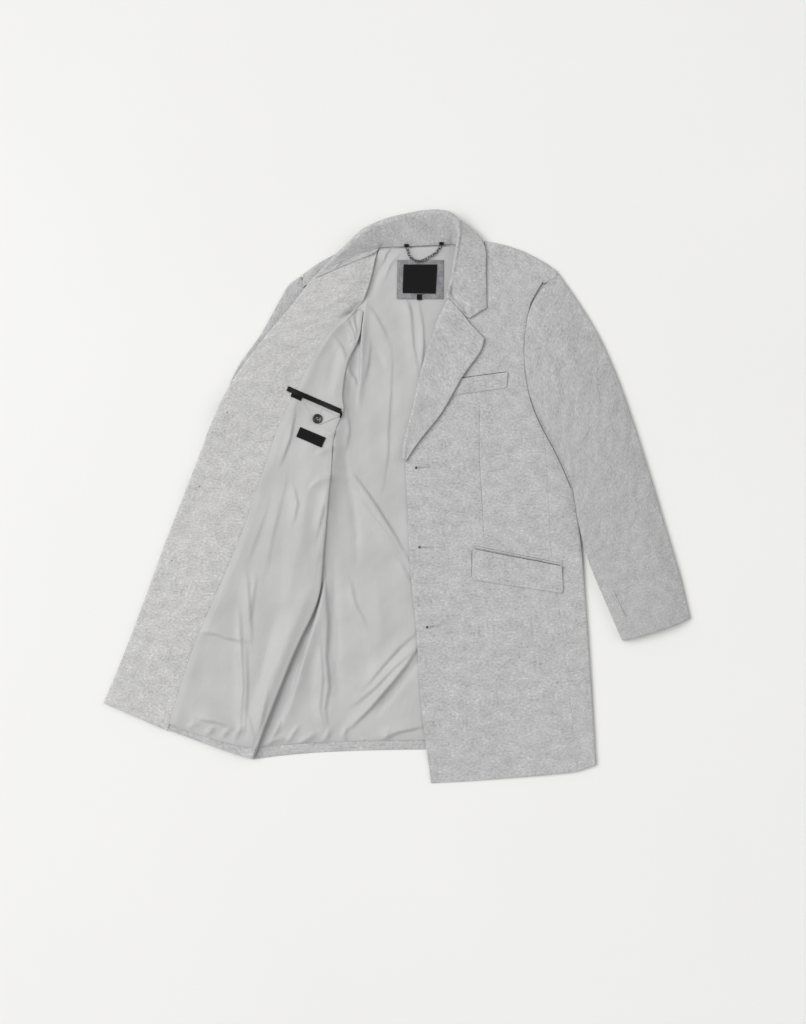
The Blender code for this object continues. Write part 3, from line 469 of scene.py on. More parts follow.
RIGHT_LINING_CREASES = creases(
    ("facing pleat", 2.2, 3.6, 4.6, (-181, 147), (-189, 101), (-204, 60)),
    ("top fold one", 2.4, 4.3, 3.8, (-98, 318), (-87, 302), (-78, 280), (-74, 262)),
    ("top fold two", 2.4, 4, 3.8, (-80, 318), (-75, 292), (-72, 270)),
    ("top pocket", 6, -2.4, 1.4, (-88, 290), (-82, 256)),
    ("edge tuck", 2.4, 3.5, 3.4, (-112, 276), (-98, 258), (-92, 238)),
    ("pocket tuck one", 2.2, 4.2, 3.4, (-124, 112), (-112, 110), (-102, 116)),
    ("pocket tuck two", 2.2, 3.8, 3.4, (-142, 76), (-128, 82), (-114, 88)),
    ("waist tuck", 2.4, 5, 4.2, (-152, 18), (-138, 31), (-116, 36)),
    ("waist fan one", 2.4, 4.4, 4.2, (-118, 20), (-132, -24), (-142, -66)),
    ("waist fan two", 2.4, 3.8, 4.2, (-120, -20), (-128, -60), (-140, -110)),
    ("waist ring", 2.2, 3.4, 3.8, (-182, 14), (-176, -12), (-182, -42)),
    ("middle drop", 2.2, 3.7, 4.9, (-263, -140), (-260, -190), (-256, -248)),
    ("middle drop twin", 2.2, 2.6, 3.8, (-248, -140), (-254, -180), (-258, -210)),
    ("lower drop", 2.2, 4, 3, (-277, -200), (-274, -260), (-271, -330), (-276, -408)),
    ("lower drop twin", 2.2, 3.4, 3, (-266, -262), (-264, -330), (-268, -408)),
    ("cross crease", 2.2, 4.2, 4.9, (-264, -252), (-300, -245), (-316, -238), (-346, -236)),
    ("hem crease", 2, 5.4, 5.3, (-284, -405), (-300, -398), (-318, -391), (-350, -388)),
    ("hem tuck one", 2, 4.8, 3, (-336, -414), (-328, -406), (-320, -402)),
    ("hem tuck two", 2, 4.8, 3, (-308, -416), (-300, -408), (-294, -404)),
    ("hem tuck three", 2, 4.4, 3, (-286, -422), (-280, -408), (-272, -400)),
    ("hem tuck four", 2, 4, 3, (-366, -402), (-356, -394), (-346, -396)),
    ("side swell", 14, 3.4, 1.6, (-150, 60), (-168, -60), (-196, -190)),
    ("edge ridge", 12, 5.2, 1.6, (-150, -150), (-186, -236), (-222, -330), (-248, -412)),
    ("edge trough", 12, -3, 1, (-212, -200), (-234, -290), (-258, -372)),
    ("corner fan", 2.2, 3, 3.4, (-226, -330), (-236, -380), (-246, -428)),
    ("corner fan two", 2.2, 2.7, 3.4, (-262, -380), (-256, -404), (-250, -430)),
    ("pocket swell", 12, 0.8, 1.6, (-128, 240), (-120, 190), (-118, 160)),
    ("seam run", 3.4, 2.1, 4.6, (-230, -20), (-262, -110)),
    ("waist drop", 3.4, 2.1, 4.6, (-196, 30), (-218, -60), (-232, -130)),
)

WOOL_CREASES = {
    "front_left": creases(
        ("under lapel", 26, 1.2, 1.5, (150, 240), (120, 150), (80, 60)),
        ("skirt", 40, 1.4, 1.5, (120, -210), (130, -330), (140, -470)),
        ("hem ease", 30, 1.2, 1.2, (230, -240), (240, -350), (250, -470)),
        ("pocket pull", 18, -0.9, 1.6, (300, -175), (200, -190), (90, -170)),
    ),
    "facing_right": creases(
        ("upper ease", 26, 1.6, 1.6, (-130, 370), (-190, 280), (-230, 200)),
        ("middle ease", 30, 1.4, 1.4, (-270, 110), (-300, 10), (-340, -90)),
        ("lower ease", 34, 1.6, 1.4, (-360, -150), (-400, -250), (-440, -350)),
    ),
    "sleeve_left": creases(
        ("elbow one", 12, -1.6, 1.8, (312, 20), (345, 34), (372, 30)),
        ("elbow two", 14, -1.4, 1.6, (318, -60), (352, -44), (392, -50)),
        ("cap pull", 18, 1.4, 1.5, (262, 330), (300, 260), (330, 170)),
        ("fore arm", 20, 1.2, 1.5, (360, -40), (392, -110), (420, -190)),
    ),
    "collar": creases(
        ("right tuck", 3, -3.4, 1.4, (-26, 441), (-34, 430)),
    ),
}

# Flat trims: corners that go round from the upper left one, wall, rounding of the lower corners, lift and rim
TRIMS = {
    "welt_chest": Trim(((96, 204), (191, 217), (189, 190), (94, 177)), 2.2, 1.5, (0.5, -1.5), 2.4),
    "jet_hip": Trim(((130, -81), (286, -112), (285, -119), (130, -88)), 2.0, 0.6, (-0.8, 0.3)),
    "flap_hip": Trim(((130, -90), (285, -121), (288, -169), (128, -145)), 2.2, 7, (0.3, 0.1), 2.2),
    "patch_neck": Trim(((-2, 413), (79, 413), (78, 345), (-3, 345)), 1.3, 0.6),
    "label_neck": Trim(((9, 405), (68, 405), (65, 354), (7, 355)), 0.7, 0.3),
    "tab_size": Trim(((32, 353), (41, 353), (41, 343), (32, 343)), 0.7, 0.3),
    "welt_inner": Trim(((-192, 192), (-99, 152), (-102, 144), (-195, 184)), 1.8, 1.2),
    "tag_inner": Trim(((-185, 181), (-167, 173), (-170, 166), (-188, 174)), 0.8, 0.4),
    "label_inner": Trim(((-171, 121), (-126, 102), (-134, 85), (-178, 104)), 0.7, 0.3),
}
CORNER_AT = np.array([1, 0.6, 0.3, 0.12, 0.03, 0.0])
CORNER_CUT = 0.9

# Inner pocket: hook at the end of the welt, and the corners of the tab, which is cut short of its tip
WELT_HOOK = table("x y half", ("top", -101.5, 149, 2.6), ("bend", -99.5, 143, 2.2), ("tip", -101, 136.5, 1.3))
HOOK_STEP = 1.5
HOOK_FINE = 2.0
HOOK_WALL = 1.4
TAB_CUT = 0.9
TAB_INNER_ROWS = 14
TAB_INNER = ((-164, 165), (-103, 139), (-141, 123))

CHAIN = table(
    "path_x path_y",
    ("left end", 14.5, 434.5),
    ("left drop", 22, 416),
    ("low", 36, 410),
    ("right drop", 51, 416),
    ("right rise", 67, 427),
    ("right end", 74.0, 437.0),
)
CHAIN_PITCH = 5.0
CHAIN_STEP = 0.5
CHAIN_REST = 4.0
CHAIN_LIFT = 0.36
CHAIN_SOFT = 30
LINK_LENGTH = 7.8
LINK_WIDTH = 6.0
LINK_WIRE = 1.4
LINK_AHEAD = 4
LINK_TILT = 42.0
CHAIN_TABS = {"chain_tab_left": (14, 437.5), "chain_tab_right": (75, 441.0)}
CHAIN_TAB = (8.0, 5.4, 1.6)
CHAIN_TAB_ROWS = (0.5, 0.17, -0.17, -0.5)
CHAIN_TAB_STEP = 2.0
CHAIN_TAB_CROWN = 0.8

# Buttons: turned form as shares of radius and height, and the strands of thread over the face
BUTTON_PROFILE = table(
    "radius height",
    ("centre", 0.02, 0.62), ("dish", 0.3, 0.62), ("dish edge", 0.55, 0.66), ("rise", 0.66, 0.84),
    ("crown", 0.8, 1.0), ("shoulder", 0.92, 0.95), ("rim", 1.0, 0.7), ("side", 1.0, 0.3),
    ("foot", 0.9, 0.04), ("base edge", 0.5, 0.0), ("base", 0.02, 0.0),
)
BUTTON_TURN = 0.5
BUTTON_COVER = (-0.7, 0.0, 0.7)
STRANDS = (-0.25, -0.15, 0.15, 0.25)
STRAND_HALF = 0.24
STRAND_ARCH = 0.5
STRAND_WIRE = 0.32

# Buttonholes: eye and end of each slit, then the thread, the painted shade in the slit, and the form of the
# painted shade in the eye
BUTTONHOLES = {
    "upper": ((31, 50), (57, 52)),
    "middle": ((37, -88.5), (62, -89)),
    "lower": ((50, -228), (74, -225)),
}
BUTTONHOLE_EYE = 2.0
HOLE_START = 0.6
HOLE_PITCH = 0.85
HOLE_SLIT = 0.25
HOLE_BAR = 1.7
HOLE_EYE_BAR = 1.6
HOLE_MOUTH = 0.5
HOLE_ROUND = 16
HOLE_THREAD = 0.36
HOLE_LIFT = 0.12
HOLE_OPEN = 0.45
HOLE_CUT = 0.22
HOLE_EYE_SINK = 0.5
EYE_FORM = (0.2, 0.7, 0.93, 1.0, 0.93, 0.7, 0.2)

# Stitches, and the margin, pitch and thread of those round a trim
THREAD = 0.45
STITCH_FIRST = 0.3
STITCH_SHARE = 0.6
STITCH_LIFT = 0.1
STITCH_SINK = 2.2
DROP_FROM = 0.2
BORDERS = {"patch_neck": (2.0, 3.4, 0.3), "label_neck": (1.6, 2.6, 0.22), "label_inner": (1.4, 2.4, 0.2)}

# Painted shade: dark cords for the shade in pocket mouths, pressed seams and edges; the pieces they lie on,
# their radius and their points
LINE_LIFT = -0.05
LINE_STEP = 2.5
LINE_TAPER = 6.0
LINE_TIP = 0.15
LINE_GAP = 0.5
LINE_SURFACES = {
    "chest": ("front_left", "welt_chest", "jet_hip", "flap_hip"),
    "cuff": ("sleeve_left_top",),
    "facing": ("facing_right", "collar", "sleeve_right_top", "back"),
    "armhole": ("front_left", "side_left", "sleeve_left_top"),
    "pocket": ("tab_inner", "lining_right"),
}
POCKET_MOUTH_SHADE = (
    ("chest", 0.55, ((97, 205.2), (191.5, 218))),
    ("chest", 0.5, ((131, -91.4), (285, -121.2))),
)
SEAM_SHADE_LINES = (
    ("cuff", 0.4, ((374, -162), (384, -184), (398, -213.5))),
    ("chest", 0.45, ((126.8, -93), (128.0, -118), (127.4, -141))),
    ("chest", 0.45, ((131, -85.5), (285, -116.5))),
    ("facing", 0.35, ((-94, 411), (-110, 395.5))),
    ("facing", 0.45, ((-167, 379), (-159, 369))),
    ("pocket", 0.3, ((-132, 153), (-137, 141))),
)

# Painted shade in the crease between the left sleeve and the body: the points of its dark cord
ARMHOLE = table(
    "line_x line_y",
    ("cap", 232, 344), ("shoulder", 221.5, 291), ("blade", 219.5, 239), ("chest", 226, 186),
    ("underarm", 236.5, 151), ("side", 252.5, 116), ("over", 271.5, 81), ("middle", 288, 46),
    ("end", 302.5, 11),
)
# Its upper and its lower part: from and to which y, radius and lift
ARMHOLE_PARTS = ((170.0, np.inf, 0.55, -0.2), (-np.inf, 180.0, 1.05, -0.3))

# Thread of the outer buttons, seen on the facing
THREAD_MARKS = table("x y", ("upper", -297.5, 146), ("middle", -347, 17), ("lower", -395.5, -112))
MARK_TURNS = (0.4, 2.0)
MARK_HALF = 1.9

# Finishes: roughness, fixed values, noises (repeats in a metre across and along, detail, roughness, lift),
# weight of each noise in the colour and in the relief, colour stops, strength and depth of the relief
Finish = namedtuple("Finish", "roughness fixed noises colour_mix bump_mix stops bump")
FINISHES = {
    "brushed wool": Finish(
        0.92, {"sheen": 0.25, "sheen_spread": 0.6, "gloss": 0.2},
        (((220.0, 300.0), 3.0, 0.62), ((640.0, 820.0), 2.0, 0.6, 3.0), ((52.0, 60.0), 2.0, 0.5, 7.0)),
        (0.48, 0.32, 0.2), (0.6, 0.7, 0.0),
        ((0.35, 0.6), (0.47, 0.94), (0.54, 1.05), (0.66, 1.42)), (0.3, 0.8)),
    "satin": Finish(
        0.5, {"sheen": 0.1, "gloss": 0.32, "grain": 0.35},
        (((900.0, 26.0), 2.0, 0.5), ((22.0, 16.0), 2.0, 0.5, 5.0)),
        (0.5, 0.5), (1.0, 0.0), ((0.35, 0.955), (0.65, 1.045)), (0.06, 0.2)),
    "ribbon": Finish(
        0.8, {"gloss": 0.15},
        (((350.0, 2600.0), 1.0, 0.5), ((2600.0, 350.0), 1.0, 0.5, 2.0)),
        (0.5, 0.5), (0.5, 0.5), ((0.35, 0.7), (0.65, 1.4)), (0.4, 0.25)),
    "felt": Finish(
        0.95, {"sheen": 0.2, "gloss": 0.15},
        (((420.0, 460.0), 3.0, 0.65), ((110.0, 90.0), 2.0, 0.5, 4.0)), (0.65, 0.35), (1.0, 0.0),
        ((0.34, (0.14, 0.14, 0.147)), (0.5, (0.245, 0.245, 0.255)), (0.68, (0.42, 0.42, 0.43))), (0.5, 0.6)),
    "thread": Finish(
        0.7, {"sheen": 0.2, "gloss": 0.3}, (((2400.0, 2400.0), 1.0, 0.5),),
        (1.0,), (1.0,), ((0.3, 0.8), (0.7, 1.2)), (0.3, 0.1)),
    "horn": Finish(
        0.22, {"gloss": 0.5}, (((160.0, 260.0), 3.0, 0.6),),
        (1.0,), (1.0,), ((0.4, (0.012, 0.011, 0.011)), (0.7, (0.05, 0.045, 0.042))), (0.05, 0.1)),
    "steel": Finish(
        0.24, {"metal": 1.0}, (((700.0, 700.0), 2.0, 0.5),),
        (1.0,), (1.0,), ((0.3, 0.12), (0.7, 0.3)), (0.08, 0.1)),
}
FINISHES["piping"] = FINISHES["ribbon"]._replace(roughness=0.5)

# Materials: finish, name, lightness and warmth
MATERIALS = {
    "wool": ("brushed wool", "wool_melange", 0.485),
    # The facing is a lighter copy of the body wool and the sleeve a darker one: painted light and painted
    # shade for light that falls off from left to right
    "facing": ("brushed wool", "wool_inside", 0.538, 0.008),
    "sleeve": ("brushed wool", "wool_sleeve", 0.452),
    "satin": ("satin", "lining_satin", 0.5, 0.004),
    "label": ("ribbon", "label_black", 0.007),
    "piping": ("piping", "piping_black", 0.006),
    "felt": ("felt", "patch_felt", 1.0),
    "thread": ("thread", "thread_grey", 0.36),
    "pale": ("thread", "thread_pale", 0.47),
    # line colours the dark cords of painted shade in seams, edges and buttonhole slits, and also the real
    # thread marks on the facing
    "line": ("thread", "thread_line", 0.2),
    # shade colours the painted shade in the pocket mouths
    "shade": ("thread", "thread_shade", 0.07),
    # dark colours real dark thread and also the painted shade in the eyes of the buttonholes
    "dark": ("thread", "thread_dark", 0.02),
    "horn": ("horn", "button_horn", 1.0),
    "steel": ("steel", "chain_steel", 1.0),
}


# Tables to close rows

def smooth(values, knots, at):
    """Cubic curve through the values at the knots, read at other places."""
    slope = np.gradient(values, knots)
    i = np.clip(np.searchsorted(knots, at, side="right") - 1, 0, len(knots) - 2)
    width = knots[i + 1] - knots[i]
    s = (at - knots[i]) / width
    start = (1 + 2 * s) * (1 - s) ** 2 * values[i] + s * (1 - s) ** 2 * width * slope[i]
    end = s * s * (3 - 2 * s) * values[i + 1] + s * s * (s - 1) * width * slope[i + 1]
    return start + end


def knots_of(points):
    """Distance of each point from the first, along the line through them."""
    return np.concatenate([[0.0], np.cumsum(np.linalg.norm(np.diff(points, axis=0), axis=1))])


def even(tab, lead, step):
    """The table read at rows about a step apart along the line named lead."""
    knots = knots_of(np.stack([tab[lead + "_x"], tab[lead + "_y"]], axis=-1))
    at = np.linspace(0.0, knots[-1], int(knots[-1] / step) + 2)
    return {name: smooth(values, knots, at) for name, values in tab.items()}


def line(tab, name, level=None):
    """Points of one named line; level gives a height to lines without one."""
    z = tab[name + "_z"] if level is None else np.full_like(tab[name + "_x"], level)
    return np.stack([tab[name + "_x"], tab[name + "_y"], z], axis=-1)


# Shares and distances

def ramp(values, start, width):
    """0 up to start, rising to 1 over a width."""
    return np.clip((values - start) / width, 0.0, 1.0)


def smooth_step(s):
    return s * s * (3.0 - 2.0 * s)


def fade(values, low, high, soft=FADE):
    """1 between low and high, and 0 beyond them."""
    return ramp(values, low, soft) * np.clip((high - values) / soft, 0.0, 1.0)


def apart(one, two):
    """Distance between points on the plan."""
    return np.linalg.norm((one - two)[..., :2], axis=-1)


# Grids of points

def leg(start, end, step):
    """Straight rows of points from start to end, about a step apart."""
    width = np.linalg.norm(end - start, axis=-1).max()
    return leg_at(start, end, np.linspace(0.0, 1.0, max(2, int(width / step) + 2))[None, :])


def leg_at(start, end, places):
    """Rows of points from start to end at given shares of the way."""
    s = places[..., None]
    return start[:, None, :] * (1 - s) + end[:, None, :] * s


def split_places(start, end, seam_at, step):
    """Shares of the way with more of them close to a groove, and the distance of each from it."""
    width = np.linalg.norm(end - start, axis=-1)
    before = np.linspace(0.0, 1.0, int(width.max() * seam_at.mean() / step) + 1)[:-1]
    after = np.linspace(0.0, 1.0, int(width.max() * (1 - seam_at.mean()) / step) + 1)[1:]
    reach = GROOVE_AT[-1] / width
    first = before[None, :] * (seam_at - reach)[:, None]
    middle = seam_at[:, None] + GROOVE_AT[None, :] / width[:, None]
    last = (seam_at + reach)[:, None] + after[None, :] * (1 - seam_at - reach)[:, None]
    places = np.concatenate([first, middle, last], axis=1)
    return places, (places - seam_at[:, None]) * width[:, None]


def unit(vectors):
    return vectors / np.maximum(np.linalg.norm(vectors, axis=-1, keepdims=True), 1e-9)


def bowed(grid, bow):
    """Move the middle of each row sideways by its bow, none at the two ends."""
    run = grid[:, -1, :2] - grid[:, 0, :2]
    v = ((grid[..., :2] - grid[:, :1, :2]) * run[:, None]).sum(-1) / (run * run).sum(-1)[:, None]
    shape = 1.0 - np.abs(2.0 * v - 1.0) ** BOW_SHAPE
    across = unit(run)
    side = np.stack([-across[:, 1], across[:, 0]], axis=-1)
    moved = grid.copy()
    moved[..., :2] += side[:, None, :] * (bow[:, None] * shape)[..., None]
    return moved


def inset(edge, inner, amount):
    """Points of edge moved towards inner on the plan."""
    moved = edge.copy()
    moved[:, :2] += unit(inner[:, :2] - edge[:, :2]) * np.broadcast_to(amount, (len(edge),))[:, None]
    return moved


def at_level(points, level):
    moved = points.copy()
    moved[..., 2] = level
    return moved


def join_round(first, second, tip, steps=FOLD_STEPS):
    """Join two layers round a roll whose outermost points are tip."""
    middle = (first[:, -1] + second[:, 0]) / 2
    half = (second[:, 0] - first[:, -1]) / 2
    out = tip - middle
    angles = np.linspace(-math.pi / 2, math.pi / 2, steps + 2)[1:-1]
    turn = [middle + half * math.sin(a) + out * math.cos(a) for a in angles]
    return np.concatenate([first, np.stack(turn, axis=1), second], axis=1)


def join_fold(low, high, edge):
    """Join two layers round a level fold line: low ends and high starts beside it."""
    tip = edge.copy()
    tip[:, 2] = (low[:, -1, 2] + high[:, 0, 2]) / 2
    return join_round(low, high, tip)


def at_lines(grid, at, axis):
    """A grid read at places between its own lines."""
    low = np.minimum(at.astype(int), grid.shape[axis] - 2)
    s = (at - low)[:, None, None] if axis == 0 else (at - low)[None, :, None]
    return np.take(grid, low, axis) * (1 - s) + np.take(grid, low + 1, axis) * s


def refine(grid, step):
    """The same surface with its points no more than step apart."""
    for axis in (0, 1):
        gaps = np.linalg.norm(np.diff(grid, axis=axis), axis=-1)
        parts = max(1, int(np.ceil(gaps.max() / step)))
        count = grid.shape[axis]
        grid = at_lines(grid, np.linspace(0.0, count - 1, (count - 1) * parts + 1), axis)
    return grid


def crease_height(grid, folds):
    """Height of soft folds at the points of a grid."""
    height = np.zeros(grid.shape[:2])
    for crease in folds:
        points, before = crease.points, knots_of(crease.points)
        nearest = np.full(grid.shape[:2], np.inf)
        side, along = np.zeros_like(nearest), np.zeros_like(nearest)
        for i, run in enumerate(np.diff(points, axis=0)):
            offset = grid[..., :2] - points[i]
            s = np.clip((offset @ run) / (run @ run), 0.0, 1.0)
            away = np.linalg.norm(offset - s[..., None] * run, axis=-1)
            closer = away < nearest
            nearest = np.where(closer, away, nearest)
            side = np.where(closer, run[0] * offset[..., 1] - run[1] * offset[..., 0], side)
            along = np.where(closer, before[i] + s * (before[i + 1] - before[i]), along)
        width = np.where(side > 0.0, crease.width, crease.width * crease.lean)
        share = CREASE_END + (1.0 - 2.0 * CREASE_END) * along / before[-1]
        taper = np.sin(math.pi * share) ** CREASE_TAPER
        height += crease.height * taper * np.exp(-(nearest / width) ** CREASE_SHAPE)
    return height


def ripple(grid, seed, length, height):
    """Low uneven swells over a panel."""
    pick = np.random.RandomState(seed)
    total = np.zeros(grid.shape[:2])
    for _ in range(RIPPLE_WAVES):
        angle, phase = pick.uniform(0, math.tau, 2)
        wave = math.tau / (length * pick.uniform(*RIPPLE_RANGE))
        place = grid[..., 0] * math.cos(angle) + grid[..., 1] * math.sin(angle)
        total += np.sin(place * wave + phase)
    return height * total / RIPPLE_EVEN


# Heights of the layers

class Board:
    """Heights of all that lies on the table so far."""

    def __init__(self):
        count = int(2 * BOARD_HALF / BOARD_CELL) + 1
        self.height = np.zeros((count, count))

    def cover(self, grid, half_wall):
        """Raise the board to the upper side of a layer."""
        dense = refine(grid, BOARD_CELL / 2)
        cell = np.rint((dense[..., :2] + BOARD_HALF) / BOARD_CELL).astype(int)
        np.maximum.at(self.height, (cell[..., 0], cell[..., 1]), dense[..., 2] + half_wall)

    def below(self, points, reach):
        """Highest thing within reach of each point."""
        cells = int(math.ceil(reach / BOARD_CELL))
        wide = self.height.copy()
        for i in range(-cells, cells + 1):
            for j in range(-cells, cells + 1):
                if i * i + j * j <= cells * cells:
                    wide = np.maximum(wide, np.roll(self.height, (i, j), (0, 1)))
        place = (points[..., :2] + BOARD_HALF) / BOARD_CELL
        low = np.floor(place).astype(int)
        s = place - low
        i, j = low[..., 0], low[..., 1]
        one = wide[i, j] * (1 - s[..., 0]) + wide[i + 1, j] * s[..., 0]
        two = wide[i, j + 1] * (1 - s[..., 0]) + wide[i + 1, j + 1] * s[..., 0]
        return one * (1 - s[..., 1]) + two * s[..., 1]

    def lay(self, grid, wall, reach=REST, ease=SPAN, soft=SOFTEN):
        """Raise a grid until its lower side clears what it lies on, and span the steps like stiff cloth."""
        laid = grid.copy()
        under = self.below(grid, reach)
        floor = under + np.where(under > BARE_TABLE, GAP, 0.0) + wall / 2
        z = np.maximum(grid[..., 2], floor)
        for _ in range(ease):
            z = np.maximum(z, neighbour_mean(z))
        for _ in range(soft):
            z = neighbour_mean(z)
        laid[..., 2] = z
        return laid


def neighbour_mean(z):
    padded = np.pad(z, 1, mode="edge")
    return (padded[:-2, 1:-1] + padded[2:, 1:-1] + padded[1:-1, :-2] + padded[1:-1, 2:]) / 4


# Meshes

def with_rim(grid, radius):
    """Add lines close to the four edges, for their rounding, and give the share of the wall at each point."""
    shares = []
    for axis in (0, 1):
        count = grid.shape[axis]
        gaps = np.linalg.norm(np.diff(grid, axis=axis), axis=-1)
        first, last = np.take(gaps, 0, axis).mean(), np.take(gaps, -1, axis).mean()
        near = RIM_AT * min(radius / first, RIM_MOST)
        far = count - 1 - RIM_AT[::-1] * min(radius / last, RIM_MOST)
        inner = np.arange(1, count - 1)
        grid = at_lines(grid, np.concatenate([near, inner, far]), axis)
        shares.append(np.concatenate([RIM_SHARE, np.ones(count - 2), RIM_SHARE[::-1]]))
    return grid, np.minimum(shares[0][:, None], shares[1][None, :])


def lengths_on(grid):
    """Lengths along and across the cloth at each point, in metres: its own flat coordinates."""
    across = np.linalg.norm(np.diff(grid, axis=1), axis=-1).mean(axis=0)
    along = np.linalg.norm(np.diff(grid, axis=0), axis=-1).mean(axis=1)
    u = np.concatenate([[0.0], np.cumsum(across)])
    v = np.concatenate([[0.0], np.cumsum(along)])
    return np.stack(np.meshgrid(u, v), axis=-1) * MM


def shell(grid, wall, rim):
    """Points, faces and flat coordinates of a cloth of even thickness with rounded edges."""
    fine, share = with_rim(grid, rim)
    normal = unit(np.cross(np.gradient(fine, axis=0), np.gradient(fine, axis=1)))
    offset = normal * (share * wall / 2)[..., None]
    rows, cols = fine.shape[:2]
    number = np.arange(rows * cols).reshape(rows, cols)
    top = np.stack([number[:-1, :-1], number[:-1, 1:], number[1:, 1:], number[1:, :-1]], axis=-1)
    top = top.reshape(-1, 4)
    low = top[:, ::-1] + rows * cols
    loop = np.concatenate([number[0, :-1], number[:-1, -1], number[-1, :0:-1], number[:0:-1, 0]])
    after = np.roll(loop, -1)
    rim = np.stack([after, loop, loop + rows * cols, after + rows * cols], axis=-1)
    points = np.concatenate([(fine + offset).reshape(-1, 3), (fine - offset).reshape(-1, 3)])
    flat = np.tile(lengths_on(fine).reshape(-1, 2), (2, 1))
    return points, np.concatenate([top, low, rim]), flat


def tube(path, radius, sides=8):
    """Points, faces and flat coordinates of a closed round tube along a path."""
    along = unit(np.gradient(path, axis=0))
    side = unit(np.cross(along, np.array([0.03, 0.05, 1.0])))
    up = np.cross(side, along)
    angles = np.linspace(0.0, math.tau, sides, endpoint=False)
    ring = np.cos(angles)[None, :, None] * side[:, None] + np.sin(angles)[None, :, None] * up[:, None]
    size = np.broadcast_to(radius, (len(path),))[:, None, None]
    points = (path[:, None] + ring * size).reshape(-1, 3)
    return points, ring_faces(len(path), sides, closed=False), points[:, :2] * MM


def ring_faces(rows, sides, closed):
    """Faces between rings of points, with the two end rings closed to fans of quads when open."""
    number = np.arange(rows * sides).reshape(rows, sides)
    after = np.roll(number, -1, axis=1)
    if closed:
        below, below_after = np.roll(number, -1, axis=0), np.roll(after, -1, axis=0)
        return np.stack([number, after, below_after, below], axis=-1).reshape(-1, 4)
    body = np.stack([number[:-1], after[:-1], after[1:], number[1:]], axis=-1).reshape(-1, 4)
    half = sides // 2
    caps = []
    for row, turn in ((number[0], -1), (number[-1], 1)):
        for k in range(half - 1):
            caps.append([row[k], row[k + 1], row[sides - k - 2], row[sides - k - 1]][::turn])
    return np.concatenate([body, np.array(caps)])


def add_object(name, data):
    obj = bpy.data.objects.new(name, data)
    bpy.context.scene.collection.objects.link(obj)
    return obj


def add_mesh(name, parts, mat):
    """One object from several closed parts of four-sided faces."""
    counts = np.concatenate([[0], np.cumsum([len(points) for points, _, _ in parts])])
    points = np.concatenate([points for points, _, _ in parts])
    faces = np.concatenate([faces + start for (_, faces, _), start in zip(parts, counts)])
    flat = np.concatenate([flat for _, _, flat in parts])
    mesh = bpy.data.meshes.new(name)
    mesh.vertices.add(len(points))
    mesh.vertices.foreach_set("co", ((points - CENTRE) * MM).astype(np.float32).ravel())
    mesh.loops.add(faces.size)
    mesh.loops.foreach_set("vertex_index", faces.astype(np.int32).ravel())
    mesh.polygons.add(len(faces))
    mesh.polygons.foreach_set("loop_start", np.arange(0, faces.size, 4, dtype=np.int32))
    mesh.polygons.foreach_set("use_smooth", np.ones(len(faces), bool))
    layer = mesh.uv_layers.new(name="cloth")
    layer.data.foreach_set("uv", flat[faces.ravel()].astype(np.float32).ravel())
    mesh.update(calc_edges=True)
    mesh.validate()
    mesh.materials.append(mat)
    return add_object(name, mesh)


def cut_of(grids):
    """Width, length and area of the flat cut of a cloth piece, in metres and square metres."""
    width = max(np.linalg.norm(np.diff(g, axis=1), axis=-1).sum(axis=1).max() for g in grids)
    length = max(np.linalg.norm(np.diff(g, axis=0), axis=-1).sum(axis=0).max() for g in grids)
    area = 0.0
    for g in grids:
        one, two = g[1:, 1:] - g[:-1, :-1], g[1:, :-1] - g[:-1, 1:]
        area += np.linalg.norm(np.cross(one, two), axis=-1).sum() / 2
    return width * MM, length * MM, area * MM * MM


def cloth(coat, node, grids, wall, kind, rim=None):
    """A cloth piece that stands for a node: a thin shell on each grid."""
    parts = [shell(g, wall, rim or wall * RIM_ROUND) for g in grids]
    obj = add_mesh(node + "_cloth", parts, coat["mats"][kind])
    stand_for(obj, node)
    width, length, area = cut_of(grids)
    if min(width, length) > SHEET_LEAST:
        area = min(max(area, AREA_LEAST * width * length), width * length)
    coat[node] = obj


def stand_for(obj, node):
    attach(obj, "root")
    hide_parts(node)


# Materials

SOCKETS = {"sheen": "Sheen Weight", "sheen_spread": "Sheen Roughness", "gloss": "Specular IOR Level",
           "metal": "Metallic", "grain": "Anisotropic"}


